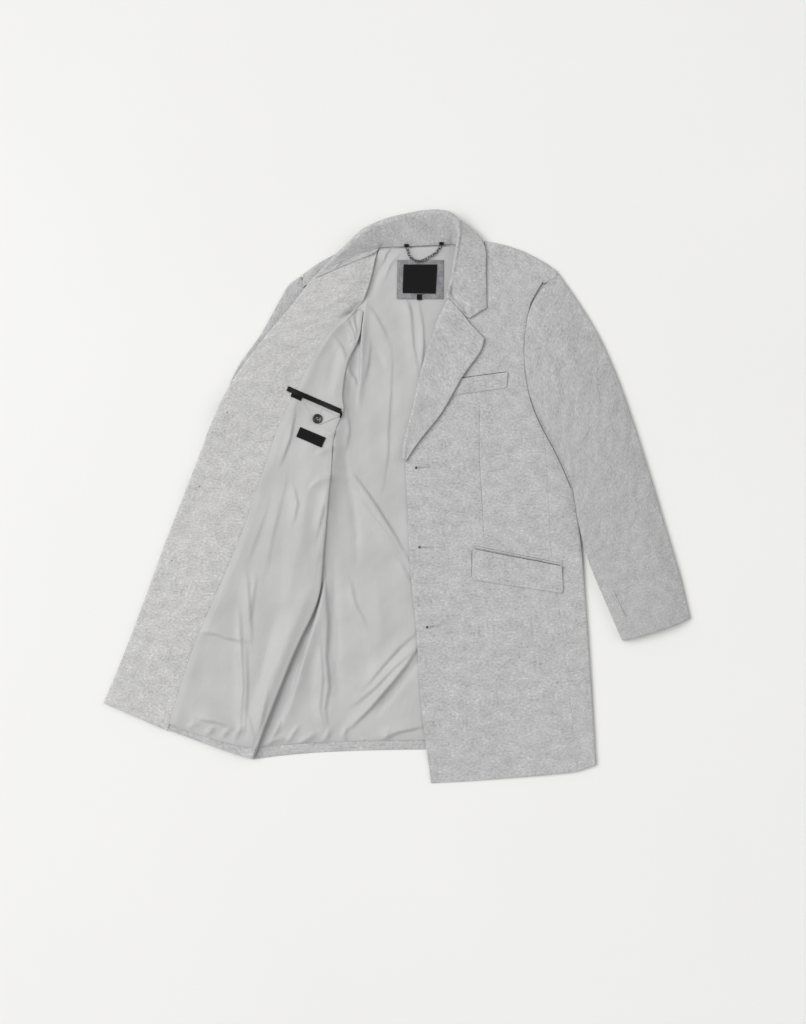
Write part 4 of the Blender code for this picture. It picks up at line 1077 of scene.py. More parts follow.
class Shader:
    """A node material with short calls for its nodes."""

    def __init__(self, name, roughness, **fixed):
        self.mat = bpy.data.materials.new(name)
        self.mat.use_nodes = True
        self.tree = self.mat.node_tree
        self.main = self.tree.nodes["Principled BSDF"]
        self.main.inputs["Roughness"].default_value = roughness
        for key, value in fixed.items():
            self.main.inputs[SOCKETS[key]].default_value = value

    def node(self, kind, **values):
        made = self.tree.nodes.new("ShaderNode" + kind)
        for key, value in values.items():
            setattr(made, key, value)
        return made

    def link(self, source, target):
        self.tree.links.new(source, target)

    def flat_noise(self, scale, detail=2.0, roughness=0.5, lift=0.0):
        """Noise on the cloth's own flat coordinates; scale is repeats for each metre across and along."""
        place = self.node("UVMap", uv_map="cloth")
        move = self.node("Mapping")
        move.inputs["Scale"].default_value = (scale[0], scale[1], 1.0)
        move.inputs["Location"].default_value = (lift, lift * 1.7, lift * 0.6)
        noise = self.node("TexNoise")
        noise.inputs["Scale"].default_value = 1.0
        noise.inputs["Detail"].default_value = detail
        noise.inputs["Roughness"].default_value = roughness
        self.link(place.outputs["UV"], move.inputs["Vector"])
        self.link(move.outputs["Vector"], noise.inputs["Vector"])
        return noise.outputs["Fac"]

    def blend(self, parts):
        """Weighted sum of several noises, without those of no weight."""
        parts = [(source, weight) for source, weight in parts if weight]
        if len(parts) == 1:
            return parts[0][0]
        total = None
        for source, weight in parts:
            scaled = self.node("Math", operation="MULTIPLY")
            scaled.inputs[1].default_value = weight
            self.link(source, scaled.inputs[0])
            if total is None:
                total = scaled.outputs[0]
                continue
            added = self.node("Math", operation="ADD")
            self.link(total, added.inputs[0])
            self.link(scaled.outputs[0], added.inputs[1])
            total = added.outputs[0]
        return total

    def ramp(self, source, stops):
        ramp = self.node("ValToRGB")
        ramp.color_ramp.elements[0].position = stops[0][0]
        ramp.color_ramp.elements[0].color = (*stops[0][1], 1.0)
        ramp.color_ramp.elements[1].position = stops[-1][0]
        ramp.color_ramp.elements[1].color = (*stops[-1][1], 1.0)
        for place, colour in stops[1:-1]:
            ramp.color_ramp.elements.new(place).color = (*colour, 1.0)
        self.link(source, ramp.inputs["Fac"])
        return ramp.outputs["Color"]

    def colour(self, source):
        self.link(source, self.main.inputs["Base Color"])

    def bump(self, source, strength, distance):
        made = self.node("Bump")
        made.inputs["Strength"].default_value = strength
        made.inputs["Distance"].default_value = distance * MM
        self.link(source, made.inputs["Height"])
        self.link(made.outputs["Normal"], self.main.inputs["Normal"])


def grey(value, warm=0.0):
    return (value * (1 + warm), value, value * (1 - warm))


def make_material(finish, name, light, warm=0.0):
    """Node material of a finish, at a given lightness and warmth."""
    made = Shader(name, finish.roughness, **finish.fixed)
    noises = [made.flat_noise(*noise) for noise in finish.noises]
    stops = [(at, tone if isinstance(tone, tuple) else grey(tone * light, warm)) for at, tone in finish.stops]
    made.colour(made.ramp(made.blend(zip(noises, finish.colour_mix)), stops))
    made.bump(made.blend(zip(noises, finish.bump_mix)), *finish.bump)
    return made.mat


def make_materials():
    return {kind: make_material(FINISHES[row[0]], *row[1:]) for kind, row in MATERIALS.items()}


# Wool body

def shoulder_seam(x):
    """Y of the two shoulder seams, which are mirrored about the middle of the back."""
    middle = (BACK["left_x"][0] + BACK["right_x"][0]) / 2
    away = np.abs(x - middle)
    near, far = FRONT_LEFT["edge_x"][0] - middle, FRONT_LEFT["side_x"][0] - middle
    tip = BACK["right_x"][0] - middle
    top, low = FRONT_LEFT["edge_y"][0], FRONT_LEFT["side_y"][0]
    slope = (low - top) / (far - near)
    return np.where(away < far, top + slope * (away - near), low + SHOULDER_RISE * (away - far) / (tip - far))


def shoulder_strips(flat):
    """The two ends of the back that fold over the shoulders; its first row makes room for the fold."""
    fold_line = flat[0].copy()
    start = fold_line.copy()
    start[:, 1] -= ROLL_RADIUS
    flat[0] = start
    end = at_level(start, UPPER_LEVEL)
    end[:, 1] = np.minimum(shoulder_seam(fold_line[:, 0]) + SEAM, start[:, 1] - STRIP_SHORTEST)
    left_reach = LEFT_STRIP_REACH * ramp(end[:, 0], *LEFT_STRIP_RAMP)
    end[:, 1] -= np.where(end[:, 0] < 0.0, RIGHT_STRIP_REACH, left_reach)
    high = leg(at_level(start, UPPER_LEVEL), end, WOOL_STEP)
    strip = join_fold(start[:, None, :], high, fold_line).transpose(1, 0, 2)
    share = np.linspace(0.0, 1.0, flat.shape[1])
    return [strip[:, share < STRIP_SHARES[0]], strip[:, share > STRIP_SHARES[1]]]


def make_back(coat, board):
    tab = even(BACK, "left", HIDDEN_STEP)
    flat = leg(line(tab, "left", TABLE_LEVEL), line(tab, "right", TABLE_LEVEL), BACK_STEP)
    flat = bowed(flat, tab["crown"])
    strips = shoulder_strips(flat)
    cloth(coat, "back", [flat, *strips], WOOL, "wool")
    board.cover(flat, WOOL / 2)
    return flat, strips


def lining_swell(grid, seed):
    """Uneven softness of a loose lining."""
    return sum(ripple(grid, seed + i, *swell) for i, swell in enumerate(LINING_SWELLS))


def hem_fade(grid, reach=HEM_REACH):
    """0 at the last row of a lining, where it is sewn to the hem, and 1 a little above it."""
    return np.clip(apart(grid, grid[-1:]) / reach, 0.0, 1.0) ** HEM_SHAPE


def make_lining_back(coat, board):
    tab = even(LINING_BACK, "left", LINING_STEP)
    left, right = line(tab, "left", 0.0), line(tab, "right", 0.0)
    seen = np.linspace(0.0, SEEN_SHARE, SEEN_COLUMNS)
    hidden = np.linspace(SEEN_SHARE, 1.0, HIDDEN_COLUMNS)[1:]
    grid = bowed(leg_at(left, right, np.concatenate([seen, hidden])[None, :]), tab["crown"])
    laid = board.lay(grid, LINING)
    swell = LOFT + crease_height(grid, BACK_LINING_CREASES) + lining_swell(grid, SEEDS["lining_back"])
    laid[..., 2] += np.maximum(swell, 0.0) * hem_fade(grid)
    cloth(coat, "lining_back", [laid], LINING, "satin")
    board.cover(laid, LINING / 2)


def beside(points, edge, gap):
    """X of an edge at the height of each point on the plan, moved sideways by a gap."""
    order = np.argsort(edge[:, 1])
    return np.interp(points[..., 1], edge[order, 1], edge[order, 0]) + gap


def front_edge_inset(edge):
    """Room for the lapel roll above its break, next to none below it."""
    return EDGE_ROOM + (ROLL_RADIUS - EDGE_ROOM) * ramp(edge[:, 1], *BREAK_RAMP)


def make_front_left(coat, board):
    tab = even(FRONT_LEFT, "edge", WOOL_STEP)
    edge, side = line(tab, "edge"), line(tab, "side")
    start = inset(edge, side, front_edge_inset(edge))
    bulge = UNDERARM_REACH * np.exp(-((side[:, 1] - UNDERARM_Y) / UNDERARM_SPREAD) ** 2)
    reach = side + np.array([UNDERARM_WAY]) * bulge[:, None]
    places, away = split_places(start, reach, tab["dart"], WOOL_STEP)
    grid = bowed(leg_at(start, reach, places), tab["crown"])
    laid = board.lay(grid, WOOL, ease=SPAN_WOOL)
    laid[..., 2] += crease_height(grid, WOOL_CREASES["front_left"])
    laid[..., 2] += ripple(grid, SEEDS["front_left"], *FRONT_SWELL)
    laid[..., 2] -= groove(away) * fade(grid[..., 1], *DART_ENDS)
    dip = ARMHOLE_DIP * np.exp(-(apart(grid, side[:, None]) / ARMHOLE_DIP_WIDTH) ** ARMHOLE_DIP_SHAPE)
    laid[..., 2] -= dip * fade(side[:, 1:2], *ARMHOLE_ENDS)
    cloth(coat, "front_left", [laid], WOOL, "wool")
    board.cover(laid, WOOL / 2)
    return laid, side


def groove(away):
    """Depth of a pressed seam at a distance from it."""
    return GROOVE_DEPTH * sum(share * np.exp(-(away / width) ** 2) for share, width in GROOVE_FORM)


def make_side_left(coat, board, back, front):
    rows = front[front[:, -1, 1] < SIDE_LEFT["top_y"][0], -1]
    tab = {name: smooth(values, -SIDE_LEFT["top_y"], -rows[:, 1]) for name, values in SIDE_LEFT.items()}
    top_end = rows + np.array([SEAM, 0.0, 0.0])
    radius = (UPPER_LEVEL - TABLE_LEVEL) / 2
    fold = line(tab, "fold", TABLE_LEVEL)
    low_end = line(tab, "low", TABLE_LEVEL)
    low_end[:, 0] = beside(low_end, back[:, -1], HIDDEN_SEAM)
    low = leg(low_end, inset(fold, low_end, radius), HIDDEN_STEP)
    high = leg(inset(at_level(fold, UPPER_LEVEL), top_end, radius), top_end, WOOL_STEP)
    grid = join_fold(low, high, fold)
    cloth(coat, "side_left", [grid], WOOL, "wool")
    board.cover(grid, WOOL / 2)
    return grid


def slope_share(y):
    """1 where the right lining slopes down to the back lining, 0 where its edge stands off it lower down."""
    return smooth_step(ramp(y, *SLOPE_RAMP))


def make_side_right(coat, board, back):
    tab = even(SIDE_RIGHT, "fold", HIDDEN_STEP)
    outer = line(tab, "fold", TABLE_LEVEL)
    outer[:, 0] -= PLEAT_INSET + LINING_SLOPE * slope_share(outer[:, 1])
    low_radius = (PLEAT_LEVEL - TABLE_LEVEL) / 2
    top_radius = (OPEN_LEVEL - PLEAT_LEVEL) / 2
    back_edge = outer.copy()
    back_edge[:, 0] = beside(outer, back[:, 0], -SEAM)
    hidden = np.minimum(back_edge, outer)
    hidden[:, 0] -= PLEAT_LAP
    low = leg(back_edge, inset(hidden, outer, low_radius), WOOL_STEP)
    middle = leg(at_level(inset(hidden, outer, low_radius), PLEAT_LEVEL),
                 at_level(inset(outer, hidden, top_radius), PLEAT_LEVEL), WOOL_STEP)
    high = leg(at_level(inset(outer, hidden, top_radius), OPEN_LEVEL),
               at_level(inset(outer, hidden, SIDE_LAP), OPEN_LEVEL), WOOL_STEP)
    grid = join_fold(join_fold(low, middle, hidden), high, outer)
    cloth(coat, "side_right", [grid], WOOL, "wool")
    board.cover(grid, WOOL / 2)


# Sleeves

def sleeve_top_grid(tab, step):
    """Upper part of a sleeve that turns round both edges and ends a little way in underneath."""
    outer, inner, rise = line(tab, "outer"), line(tab, "inner"), tab["rise"]
    lift = np.zeros_like(outer)
    lift[:, 2] = rise
    near = leg(inset(inner, outer, SLEEVE_TUCK), inset(inner, outer, rise / 2), HIDDEN_STEP)
    over = leg(inset(inner, outer, rise / 2) + lift, inset(outer, inner, rise / 2) + lift, step)
    v = np.linspace(0.0, 1.0, over.shape[1])
    crown = CROWN_SHARE * rise * ramp(np.linalg.norm(outer - outer[0], axis=1), 0.0, CROWN_REACH)
    over[..., 2] += crown[:, None] * (1.0 - np.abs(2.0 * v - 1.0) ** CROWN_SHAPE)[None, :]
    over[..., 2] -= EDGE_FALL * rise[:, None] * ramp(v, *EDGE_FALL_RAMP)[None, :] ** EDGE_FALL_SHAPE
    far = leg(inset(outer, inner, rise / 2), inset(outer, inner, SLEEVE_TUCK), HIDDEN_STEP)
    first = join_fold(near, over, inner)
    back = join_fold(far[:, ::-1], first[:, ::-1], outer)
    return back[:, ::-1]


def shaped_sleeve(grid, tab):
    """Bow the rows of a sleeve grid towards the armhole."""
    outer, inner = line(tab, "outer")[:, :2], line(tab, "inner")[:, :2]
    run = outer - inner
    v = np.einsum("rck,rk->rc", grid[..., :2] - inner[:, None, :], run) / (run * run).sum(-1)[:, None]
    side = unit(np.stack([-run[:, 1], run[:, 0]], axis=-1))
    amount = tab["bow"][:, None] * (1 - np.clip(np.abs(2 * v - 1), 0, 1) ** SLEEVE_BOW_SHAPE)
    moved = grid.copy()
    moved[..., :2] += side[:, None, :] * amount[..., None]
    return moved


def meet(grid, low_edge, top_edge, low_gap, top_gap):
    """Ease the head of a sleeve so that it meets the armhole edges of the lower and the upper layer."""
    head = grid[0]
    level = head[:, 2]
    share = ramp(level, level.min() + WOOL, max(level.max() - level.min() - WOOL, 1.0))
    target = (1 - share) * beside(head, low_edge, low_gap) + share * beside(head, top_edge, top_gap)
    eased = grid.copy()
    away = apart(grid, head[None]).mean(axis=1)
    for row in np.flatnonzero(away < MEET_REACH):
        eased[row, :, 0] += (target - head[:, 0]) * (1 - away[row] / MEET_REACH) ** 2
    return eased


def rolled_head(grid):
    """Turn the upper layer of a sleeve head down into the armhole seam."""
    drop = np.clip(grid[:1, :, 2] - UPPER_LEVEL + HEAD_SINK, 0.0, HEAD_DROP)
    drop = drop * fade(grid[:1, :, 1], *HEAD_ENDS)
    rolled = grid.copy()
    rolled[..., 2] -= drop * np.clip(1.0 - apart(grid, grid[:1]) / HEAD_ROLL, 0.0, 1.0) ** 2
    return rolled


def make_sleeve(coat, side, tab, step, boards, edges, away):
    """A sleeve of two pieces: a flat under sleeve and a top sleeve turned round both edges."""
    board, rest = boards
    low_edge, top_edge = edges
    outer, inner = line(tab, "outer"), line(tab, "inner")
    tuck = SLEEVE_TUCK + (2 * HIDDEN_SEAM if side == "left" else SEAM)
    low_gap, top_gap = 2 * HIDDEN_SEAM * away, ARMHOLE_SEAM * away
    under = leg(inset(inner, outer, tuck), inset(outer, inner, tuck), HIDDEN_STEP)
    under = meet(shaped_sleeve(under, tab), low_edge, low_edge, low_gap, low_gap)
    under = rest.lay(under, WOOL, WIDE_REST, ease=SPAN_SLEEVE)
    top = meet(shaped_sleeve(sleeve_top_grid(tab, step), tab), low_edge, top_edge, low_gap, top_gap)
    top = rest.lay(top, WOOL, WIDE_REST, ease=SPAN_SLEEVE, soft=0)
    if side == "left":
        top = rolled_head(top)
    raised = fade(top[..., 2], *RAISED_ENDS)
    top[..., 2] += raised * crease_height(top, WOOL_CREASES.get("sleeve_" + side, ()))
    names = ["sleeve_%s_%s" % (side, part) for part in ("under", "top")]
    # The sleeve wool is a darker copy of the body wool: painted shade
    cloth(coat, names[0], [under], WOOL, "sleeve")
    cloth(coat, names[1], [top], WOOL, "sleeve")
    board.cover(under, WOOL / 2)
    board.cover(top, WOOL / 2)


# Right front, inside up

def make_right_front(coat, board):
    """Front, facing and lining of the opened side, laid one on the other."""
    tab = even(FACING_RIGHT, "edge", WOOL_STEP)
    edge, seam = line(tab, "edge", TABLE_LEVEL), line(tab, "seam", TABLE_LEVEL)
    low = leg(inset(edge, seam, tab["under"]), inset(edge, seam, EDGE_INSET), WOOL_STEP)
    low = board.lay(low, WOOL)
    board.cover(low, WOOL / 2)
    make_front_right(coat, board)
    laid = facing_top(board, edge, seam)
    # The facing wool is a lighter copy of the body wool: painted light
    cloth(coat, "facing_right", [join_fold(low, laid, edge)], WOOL, "facing")
    board.cover(laid, WOOL / 2)
    make_lining_right(coat, board, seam)


def facing_top(board, edge, seam):
    """Upper layer of the facing, which slopes down beside the neck and at the corner of the hem."""
    high = leg(inset(edge, seam, EDGE_INSET), seam, WOOL_STEP)
    laid = board.lay(high, WOOL, ease=SPAN_WOOL)
    laid[..., 2] += crease_height(high, WOOL_CREASES["facing_right"])
    laid[..., 2] += ripple(high, SEEDS["facing_right"], *FACING_SWELL)
    base = board.below(seam, SEAM_REST) - SINK + NECK_STAND * fade(seam[:, 1], *NECK_ENDS)
    away = apart(high, seam[:, None])
    down = smooth_step(np.clip(1.0 - away / LINING_SLOPE, 0.0, 1.0))
    laid[..., 2] += (base[:, None] - laid[..., 2]) * ramp(seam[:, 1], *NECK_RAMP)[:, None] * down
    corner = np.clip(1.0 - away / HEM_CORNER, 0.0, 1.0) ** 2 * (1.0 - hem_fade(high, HEM_CORNER_RISE))
    laid[..., 2] -= HEM_CORNER_DROP * corner
    return laid


def make_front_right(coat, board):
    tab = even(FRONT_RIGHT, "edge", HIDDEN_STEP)
    edge, side = line(tab, "edge"), line(tab, "side")
    above_hem = ramp(side[:, 1] - side[-1, 1], *HEM_SIDE_RAMP)
    pull = HEM_SIDE_LAP + (SIDE_LAP - HEM_SIDE_LAP) * above_hem + LINING_SLOPE * slope_share(side[:, 1])
    grid = leg(inset(edge, side, FRONT_INSET), inset(side, edge, pull), HIDDEN_STEP)
    grid = board.lay(bowed(grid, tab["crown"]), WOOL, WIDE_REST)
    cloth(coat, "front_right", [grid], WOOL, "wool")
    board.cover(grid, WOOL / 2)


def make_lining_right(coat, board, facing_seam):
    tab = even(LINING_RIGHT, "seam", LINING_STEP)
    start, side = line(tab, "seam", 0.0), line(tab, "side", 0.0)
    start[:, 0] = beside(start, facing_seam, -LINING_LAP)
    room = np.minimum(LINING_ROLL, apart(side, start) * LINING_ROLL_SHARE)
    high = bowed(leg(inset(side, start, room), start, LINING_STEP), -tab["crown"])
    laid = board.lay(high, LINING, ease=SPAN_LINING)
    swell = LOFT + crease_height(high, RIGHT_LINING_CREASES) + lining_swell(high, SEEDS["lining_right"])
    laid[..., 2] += swell * np.clip(apart(high, start[:, None]) / SEAM_HOLD, 0.0, 1.0) * hem_fade(high)
    down = np.clip(1.0 - apart(high, side[:, None]) / LINING_SLOPE, 0.0, 1.0)
    share = np.interp(side[:, 1], TIP["y"], TIP["share"])[:, None] * (1.0 - np.sqrt(1.0 - down * down))
    laid[..., 2] += (board.below(high, 0.0) - SINK - laid[..., 2]) * share
    low = leg(inset(side, start, room * LINING_UNDER), inset(side, start, room), LINING_STEP)
    base = board.below(side, LINING_REST)[:, None] + GAP + LINING / 2
    low[..., 2] = np.minimum(base, laid[:, :1, 2] - LINING_ROLL_DEPTH)
    cloth(coat, "lining_right", [join_fold(low, laid, side)], LINING, "satin")
    board.cover(laid, LINING / 2)


# Lapel and collar

def make_lapel_left(coat, board):
    tab = even(LAPEL_LEFT, "roll", WOOL_STEP)
    roll, edge = line(tab, "roll", 0.0), line(tab, "edge", 0.0)
    flat = leg(inset(roll, edge, LAPEL_ROLL), edge, WOOL_STEP)
    laid = board.lay(flat, DOUBLE)
    v = np.linspace(1.0, 0.0, flat.shape[1])
    laid[..., 2] += LAPEL_CROWN * v[None, :] ** 2 + LAPEL_OFF + LAPEL_LIFT * (1.0 - v[None, :]) ** 2
    under = ramp(v, *LAPEL_UNDER_RAMP)
    for row, rise in enumerate(LAPEL_UNDER):
        laid[row, :, 1] += rise * under
    low = laid[:, :1].copy()
    low[..., 2] = np.maximum(low[..., 2] - 2 * ROLL_RADIUS, UPPER_LEVEL - LAPEL_SINK)
    grid = join_fold(low, laid, roll)
    cloth(coat, "lapel_left", [grid], DOUBLE, "wool")
    board.cover(grid, DOUBLE / 2)


def make_collar(coat, board):
    tab = even(COLLAR, "roll", WOOL_STEP)
    seam, roll, edge = line(tab, "seam"), line(tab, "roll"), line(tab, "fall")
    seam = inset(seam, roll, -COLLAR_LAP)
    seen = seam[:, 0] < LEAF_X
    seam[seen, 2] = board.below(seam[seen], COLLAR_REST) - COLLAR_SINK
    roll[:, 2] = np.maximum(roll[:, 2], seam[:, 2] + STAND_LEAST)
    out = unit(roll[:, :2] - np.array(COLLAR_MIDDLE))
    turn = np.radians(tab["turn"])
    level, rise = np.cos(turn)[:, None], np.sin(turn)[:, None]
    tip = np.concatenate([out * level, rise], axis=1)
    side = np.concatenate([-out * rise, level], axis=1)
    radius = tab["radius"][:, None]
    stand = collar_stand(board, seam, roll + (side - tip) * radius)
    fall = collar_fall(board, tab, roll - (side + tip) * radius, edge)
    grid = join_round(stand, fall, roll)
    grid[..., 2] += crease_height(grid, WOOL_CREASES["collar"])
    cloth(coat, "collar", [grid], DOUBLE, "wool", COLLAR_RIM)
    board.cover(grid, DOUBLE / 2)


def collar_stand(board, seam, top):
    """Inner side of the collar, up from the neck seam, clear of what lies under its right half."""
    stand = leg(seam, top, WOOL_STEP)
    clear = np.maximum(stand[..., 2], board.below(stand, SEAM_REST))
    stand[..., 2] = np.where(stand[..., 0] < RIGHT_HALF_X, clear, stand[..., 2])
    return stand


def collar_fall(board, tab, start, edge):
    """Outer side of the collar, from the roll to its free edge, sewn to the lapel at the gorge."""
    fall = leg(start, edge, WOOL_STEP)
    v = np.linspace(0.0, 1.0, fall.shape[1])
    fall[..., 1] += tab["bow"][:, None] * (1.0 - np.abs(2.0 * v - 1.0))[None, :]
    from_gorge = tab["roll_y"][:, None] - tab["roll_y"][-1]
    sewn = fade(v, *GORGE_SEWN)[None, :] * np.clip(1.0 - from_gorge / GORGE_REACH, 0.0, 1.0)
    fall[..., 2] += (board.below(fall, GORGE_REST) + GORGE_LIFT - fall[..., 2]) * sewn
    return fall


# Trims and small parts

def trim_grid(name):
    """Close grid between the four corners of a trim, its lower corners rounded."""
    corner = [np.array([x, y, 0.0]) for x, y in TRIMS[name].corners]
    size = TRIMS[name].round
    long = np.linalg.norm(corner[3] - corner[0])
    wide = np.linalg.norm(corner[1] - corner[0])
    down = np.concatenate([np.arange(0.0, long - size, TRIM_STEP), long - size * CORNER_AT])
    share = (down / long)[:, None]
    left = corner[0] * (1 - share) + corner[3] * share
    right = corner[1] * (1 - share) + corner[2] * share
    drop = np.clip(down - (long - size), 0.0, size)
    cut = (size - np.sqrt(np.maximum(size * size - drop * drop, 0.0))) / wide * CORNER_CUT
    s = np.linspace(0.0, 1.0, max(3, int(wide / TRIM_STEP) + 2))[None, :]
    return leg_at(left, right, cut[:, None] + s * (1 - 2 * cut[:, None]))


def make_trim(coat, board, name, kind, cover=True):
    """A flat trim on what lies below; its lift raises the upper and the lower edge."""
    _, wall, _, lift, rim = TRIMS[name]
    laid = board.lay(trim_grid(name), wall, TRIM_REST, ease=SPAN_TRIM)
    laid[..., 2] += np.linspace(lift[0], lift[1], len(laid))[:, None]
    cloth(coat, name, [laid], wall, kind, rim)
    if cover:
        board.cover(laid, wall / 2)


def make_welt_inner(coat, board):
    """Piped welt whose right end turns down in a short hook."""
    wall = TRIMS["welt_inner"].wall
    bar = board.lay(trim_grid("welt_inner"), wall, TRIM_REST, ease=SPAN_TRIM)
    x, y, half = WELT_HOOK["x"], WELT_HOOK["y"], WELT_HOOK["half"]
    left = np.column_stack([x - half, y, np.zeros_like(x)])
    right = np.column_stack([x + half, y, np.zeros_like(x)])
    hook = refine(leg(left, right, HOOK_STEP), HOOK_FINE)
    hook = board.lay(hook, HOOK_WALL, TRIM_REST, ease=SPAN_HOOK)
    cloth(coat, "welt_inner", [bar, hook], wall, "piping")
    board.cover(bar, wall / 2)


def make_tab_inner(coat, board):
    one, two, tip = [np.array([x, y, 0.0]) for x, y in TAB_INNER]
    s = np.linspace(0.0, TAB_CUT, TAB_INNER_ROWS)[:, None]
    grid = leg(one + (tip - one) * s, two + (tip - two) * s, TRIM_STEP)
    laid = board.lay(grid, LINING, TRIM_REST, ease=SPAN_TRIM)
    laid[..., 2] -= SINK
    cloth(coat, "tab_inner", [laid], LINING, "satin")
    board.cover(laid, LINING / 2)


def turned(middle, radius, height, sides=40):
    """Points, faces and flat coordinates of a turned button."""
    angles = np.linspace(0.0, math.tau, sides, endpoint=False)
    circle = np.stack([np.cos(angles), np.sin(angles)], axis=-1)
    rings = []
    for r, z in zip(BUTTON_PROFILE["radius"], BUTTON_PROFILE["height"]):
        ring = np.concatenate([circle * r * radius, np.full((sides, 1), z * height)], axis=1)
        rings.append(middle + ring)
    points = np.concatenate(rings)
    return points, ring_faces(len(rings), sides, closed=False), points[:, :2] * MM


def make_button(coat, node, middle, radius, height, thread_kind="dark"):
    """A four-hole button with its thread."""
    obj = add_mesh(node + "_turned", [turned(middle, radius, height)], coat["mats"]["horn"])
    stand_for(obj, node)
    face = middle + np.array([0.0, 0.0, BUTTON_PROFILE["height"][0] * height])
    along = np.array([math.cos(BUTTON_TURN), math.sin(BUTTON_TURN), 0.0])
    side = np.array([-along[1], along[0], 0.0])
    s = np.linspace(-1.0, 1.0, 9)[:, None]
    arch = np.array([[0.0, 0.0, 1.0]]) * (1 - s * s) * STRAND_ARCH
    strands = []
    for across in STRANDS:
        path = face + side * across * radius + along * s * STRAND_HALF * radius + arch
        strands.append(tube(path, STRAND_WIRE))
    sew(coat, node + "_thread", strands, thread_kind)


def node_box(node):
    """Lowest and highest corner of a solid, as measured in this script."""
    return [np.array(corner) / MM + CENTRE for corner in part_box(node)]


def make_outer_buttons(coat, board):
    """The three buttons of the right front, which lie under it."""
    for node in ("button_front_1", "button_front_2", "button_front_3"):
        low, high = node_box(node)
        middle = np.array([(low[0] + high[0]) / 2, (low[1] + high[1]) / 2, low[2]])
        radius, height = (high[0] - low[0]) / 2, high[2] - low[2]
        make_button(coat, node, middle, radius, height)
        steps = np.array(BUTTON_COVER) * radius
        disc = middle + np.stack(np.meshgrid(steps, steps, [height]), axis=-1)[:, :, 0]
        board.cover(disc, 0.0)


def make_pocket(coat, board):
    """Inner pocket of the right front: piped welt, tag, tab, button and label."""
    make_trim(coat, board, "tag_inner", "label", cover=False)
    make_welt_inner(coat, board)
    make_trim(coat, board, "label_inner", "label")
    make_tab_inner(coat, board)
    low, high = node_box("button_inner")
    middle = (low + high) / 2
    middle[2] = board.below(middle[None, :], BUTTON_REST)[0] + GAP
    make_button(coat, "button_inner", middle, (high[0] - low[0]) / 2, high[2] - low[2], "thread")


def make_chain(coat, board):
    """Steel links, each turned a quarter against the last, along the hanging line of the chain."""
    path = line(even(CHAIN, "path", CHAIN_STEP), "path", 0.0)
    path[:, 2] = board.below(path, CHAIN_REST) + LINK_WIDTH * CHAIN_LIFT + GAP
    for _ in range(CHAIN_SOFT):
        path[1:-1, 2] = (path[:-2, 2] + path[2:, 2]) / 2
    count = int(round(knots_of(path)[-1] / CHAIN_PITCH))
    links = [chain_link(path, i, count) for i in range(count)]
    obj = add_mesh("chain_hanger_links", links, coat["mats"]["steel"])
    stand_for(obj, "chain_hanger")


def chain_link(path, i, count, sides=8, steps=20):
    """One link: a ring of wire with straight sides."""
    place = int((i + 0.5) / count * (len(path) - 1))
    middle = path[place]
    along = unit(path[min(place + LINK_AHEAD, len(path) - 1)] - path[max(place - LINK_AHEAD, 0)])
    level = unit(np.cross(along, np.array([0.0, 0.0, 1.0])))
    up = np.cross(level, along)
    tilt = math.radians(LINK_TILT if i % 2 else -LINK_TILT)
    wide = level * math.cos(tilt) + up * math.sin(tilt)
    turn = np.linspace(0.0, math.tau, steps, endpoint=False)
    half = (LINK_WIDTH - LINK_WIRE) / 2
    straight = (LINK_LENGTH - LINK_WIDTH) / 2
    ring = middle + (np.cos(turn) * half + np.sign(np.cos(turn)) * straight)[:, None] * along
    ring = ring + np.sin(turn)[:, None] * half * wide
    normal = np.cross(along, wide)
    outward = unit(ring - middle)
    angles = np.linspace(0.0, math.tau, sides, endpoint=False)
    wire = np.cos(angles)[None, :, None] * outward[:, None] + np.sin(angles)[None, :, None] * normal
    points = (ring[:, None] + wire * LINK_WIRE / 2).reshape(-1, 3)
    return points, ring_faces(steps, sides, closed=True), points[:, :2] * MM


def make_chain_tab(coat, board, name):
    """Short looped tab that holds one end of the chain."""
    wide, long, thick = CHAIN_TAB
    x, y = CHAIN_TABS[name]
    left = np.array([[x - wide / 2, y + s * long, 0.0] for s in CHAIN_TAB_ROWS])
    grid = leg(left, left + np.array([wide, 0.0, 0.0]), CHAIN_TAB_STEP)
    laid = board.lay(grid, thick, TRIM_REST, ease=SPAN_TAB)
    laid[..., 2] += CHAIN_TAB_CROWN * np.sin(np.linspace(0.0, math.pi, laid.shape[1]))[None, :]
    cloth(coat, name, [laid], thick, "label")


# Sewing

class Surface:
    """Upper side of finished pieces, to set sewing on."""

    def __init__(self, coat, *names):
        self.trees = []
        for name in names:
            mesh = coat[name].data
            points = [v.co for v in mesh.vertices]
            faces = [tuple(p.vertices) for p in mesh.polygons]
            self.trees.append(BVHTree.FromPolygons(points, faces))

    def drop(self, xy, lift):
        """Points on the surface under given places of the plan, moved up by lift."""
        found = []
        for x, y in np.asarray(xy, float):
            start = Vector(((x - CENTRE[0]) * MM, (y - CENTRE[1]) * MM, DROP_FROM))
            hits = [tree.ray_cast(start, Vector((0.0, 0.0, -1.0)))[0] for tree in self.trees]
            top = max((hit.z for hit in hits if hit is not None), default=0.0)
            found.append((x, y, top / MM + lift))
        return np.array(found)


def sew(coat, name, parts, kind):
    obj = add_mesh(name, parts, coat["mats"][kind])
    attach(obj, "root")


def stitch(surface, start, end, radius=THREAD, lift=STITCH_LIFT, steps=7):
    """One thread from point to point on a surface, its ends sunk into the cloth."""
    s = np.linspace(0.0, 1.0, steps)[:, None]
    path = surface.drop(np.asarray(start) * (1 - s) + np.asarray(end) * s, lift)
    path[[0, -1], 2] -= STITCH_SINK * radius
    return tube(path, radius, 6)


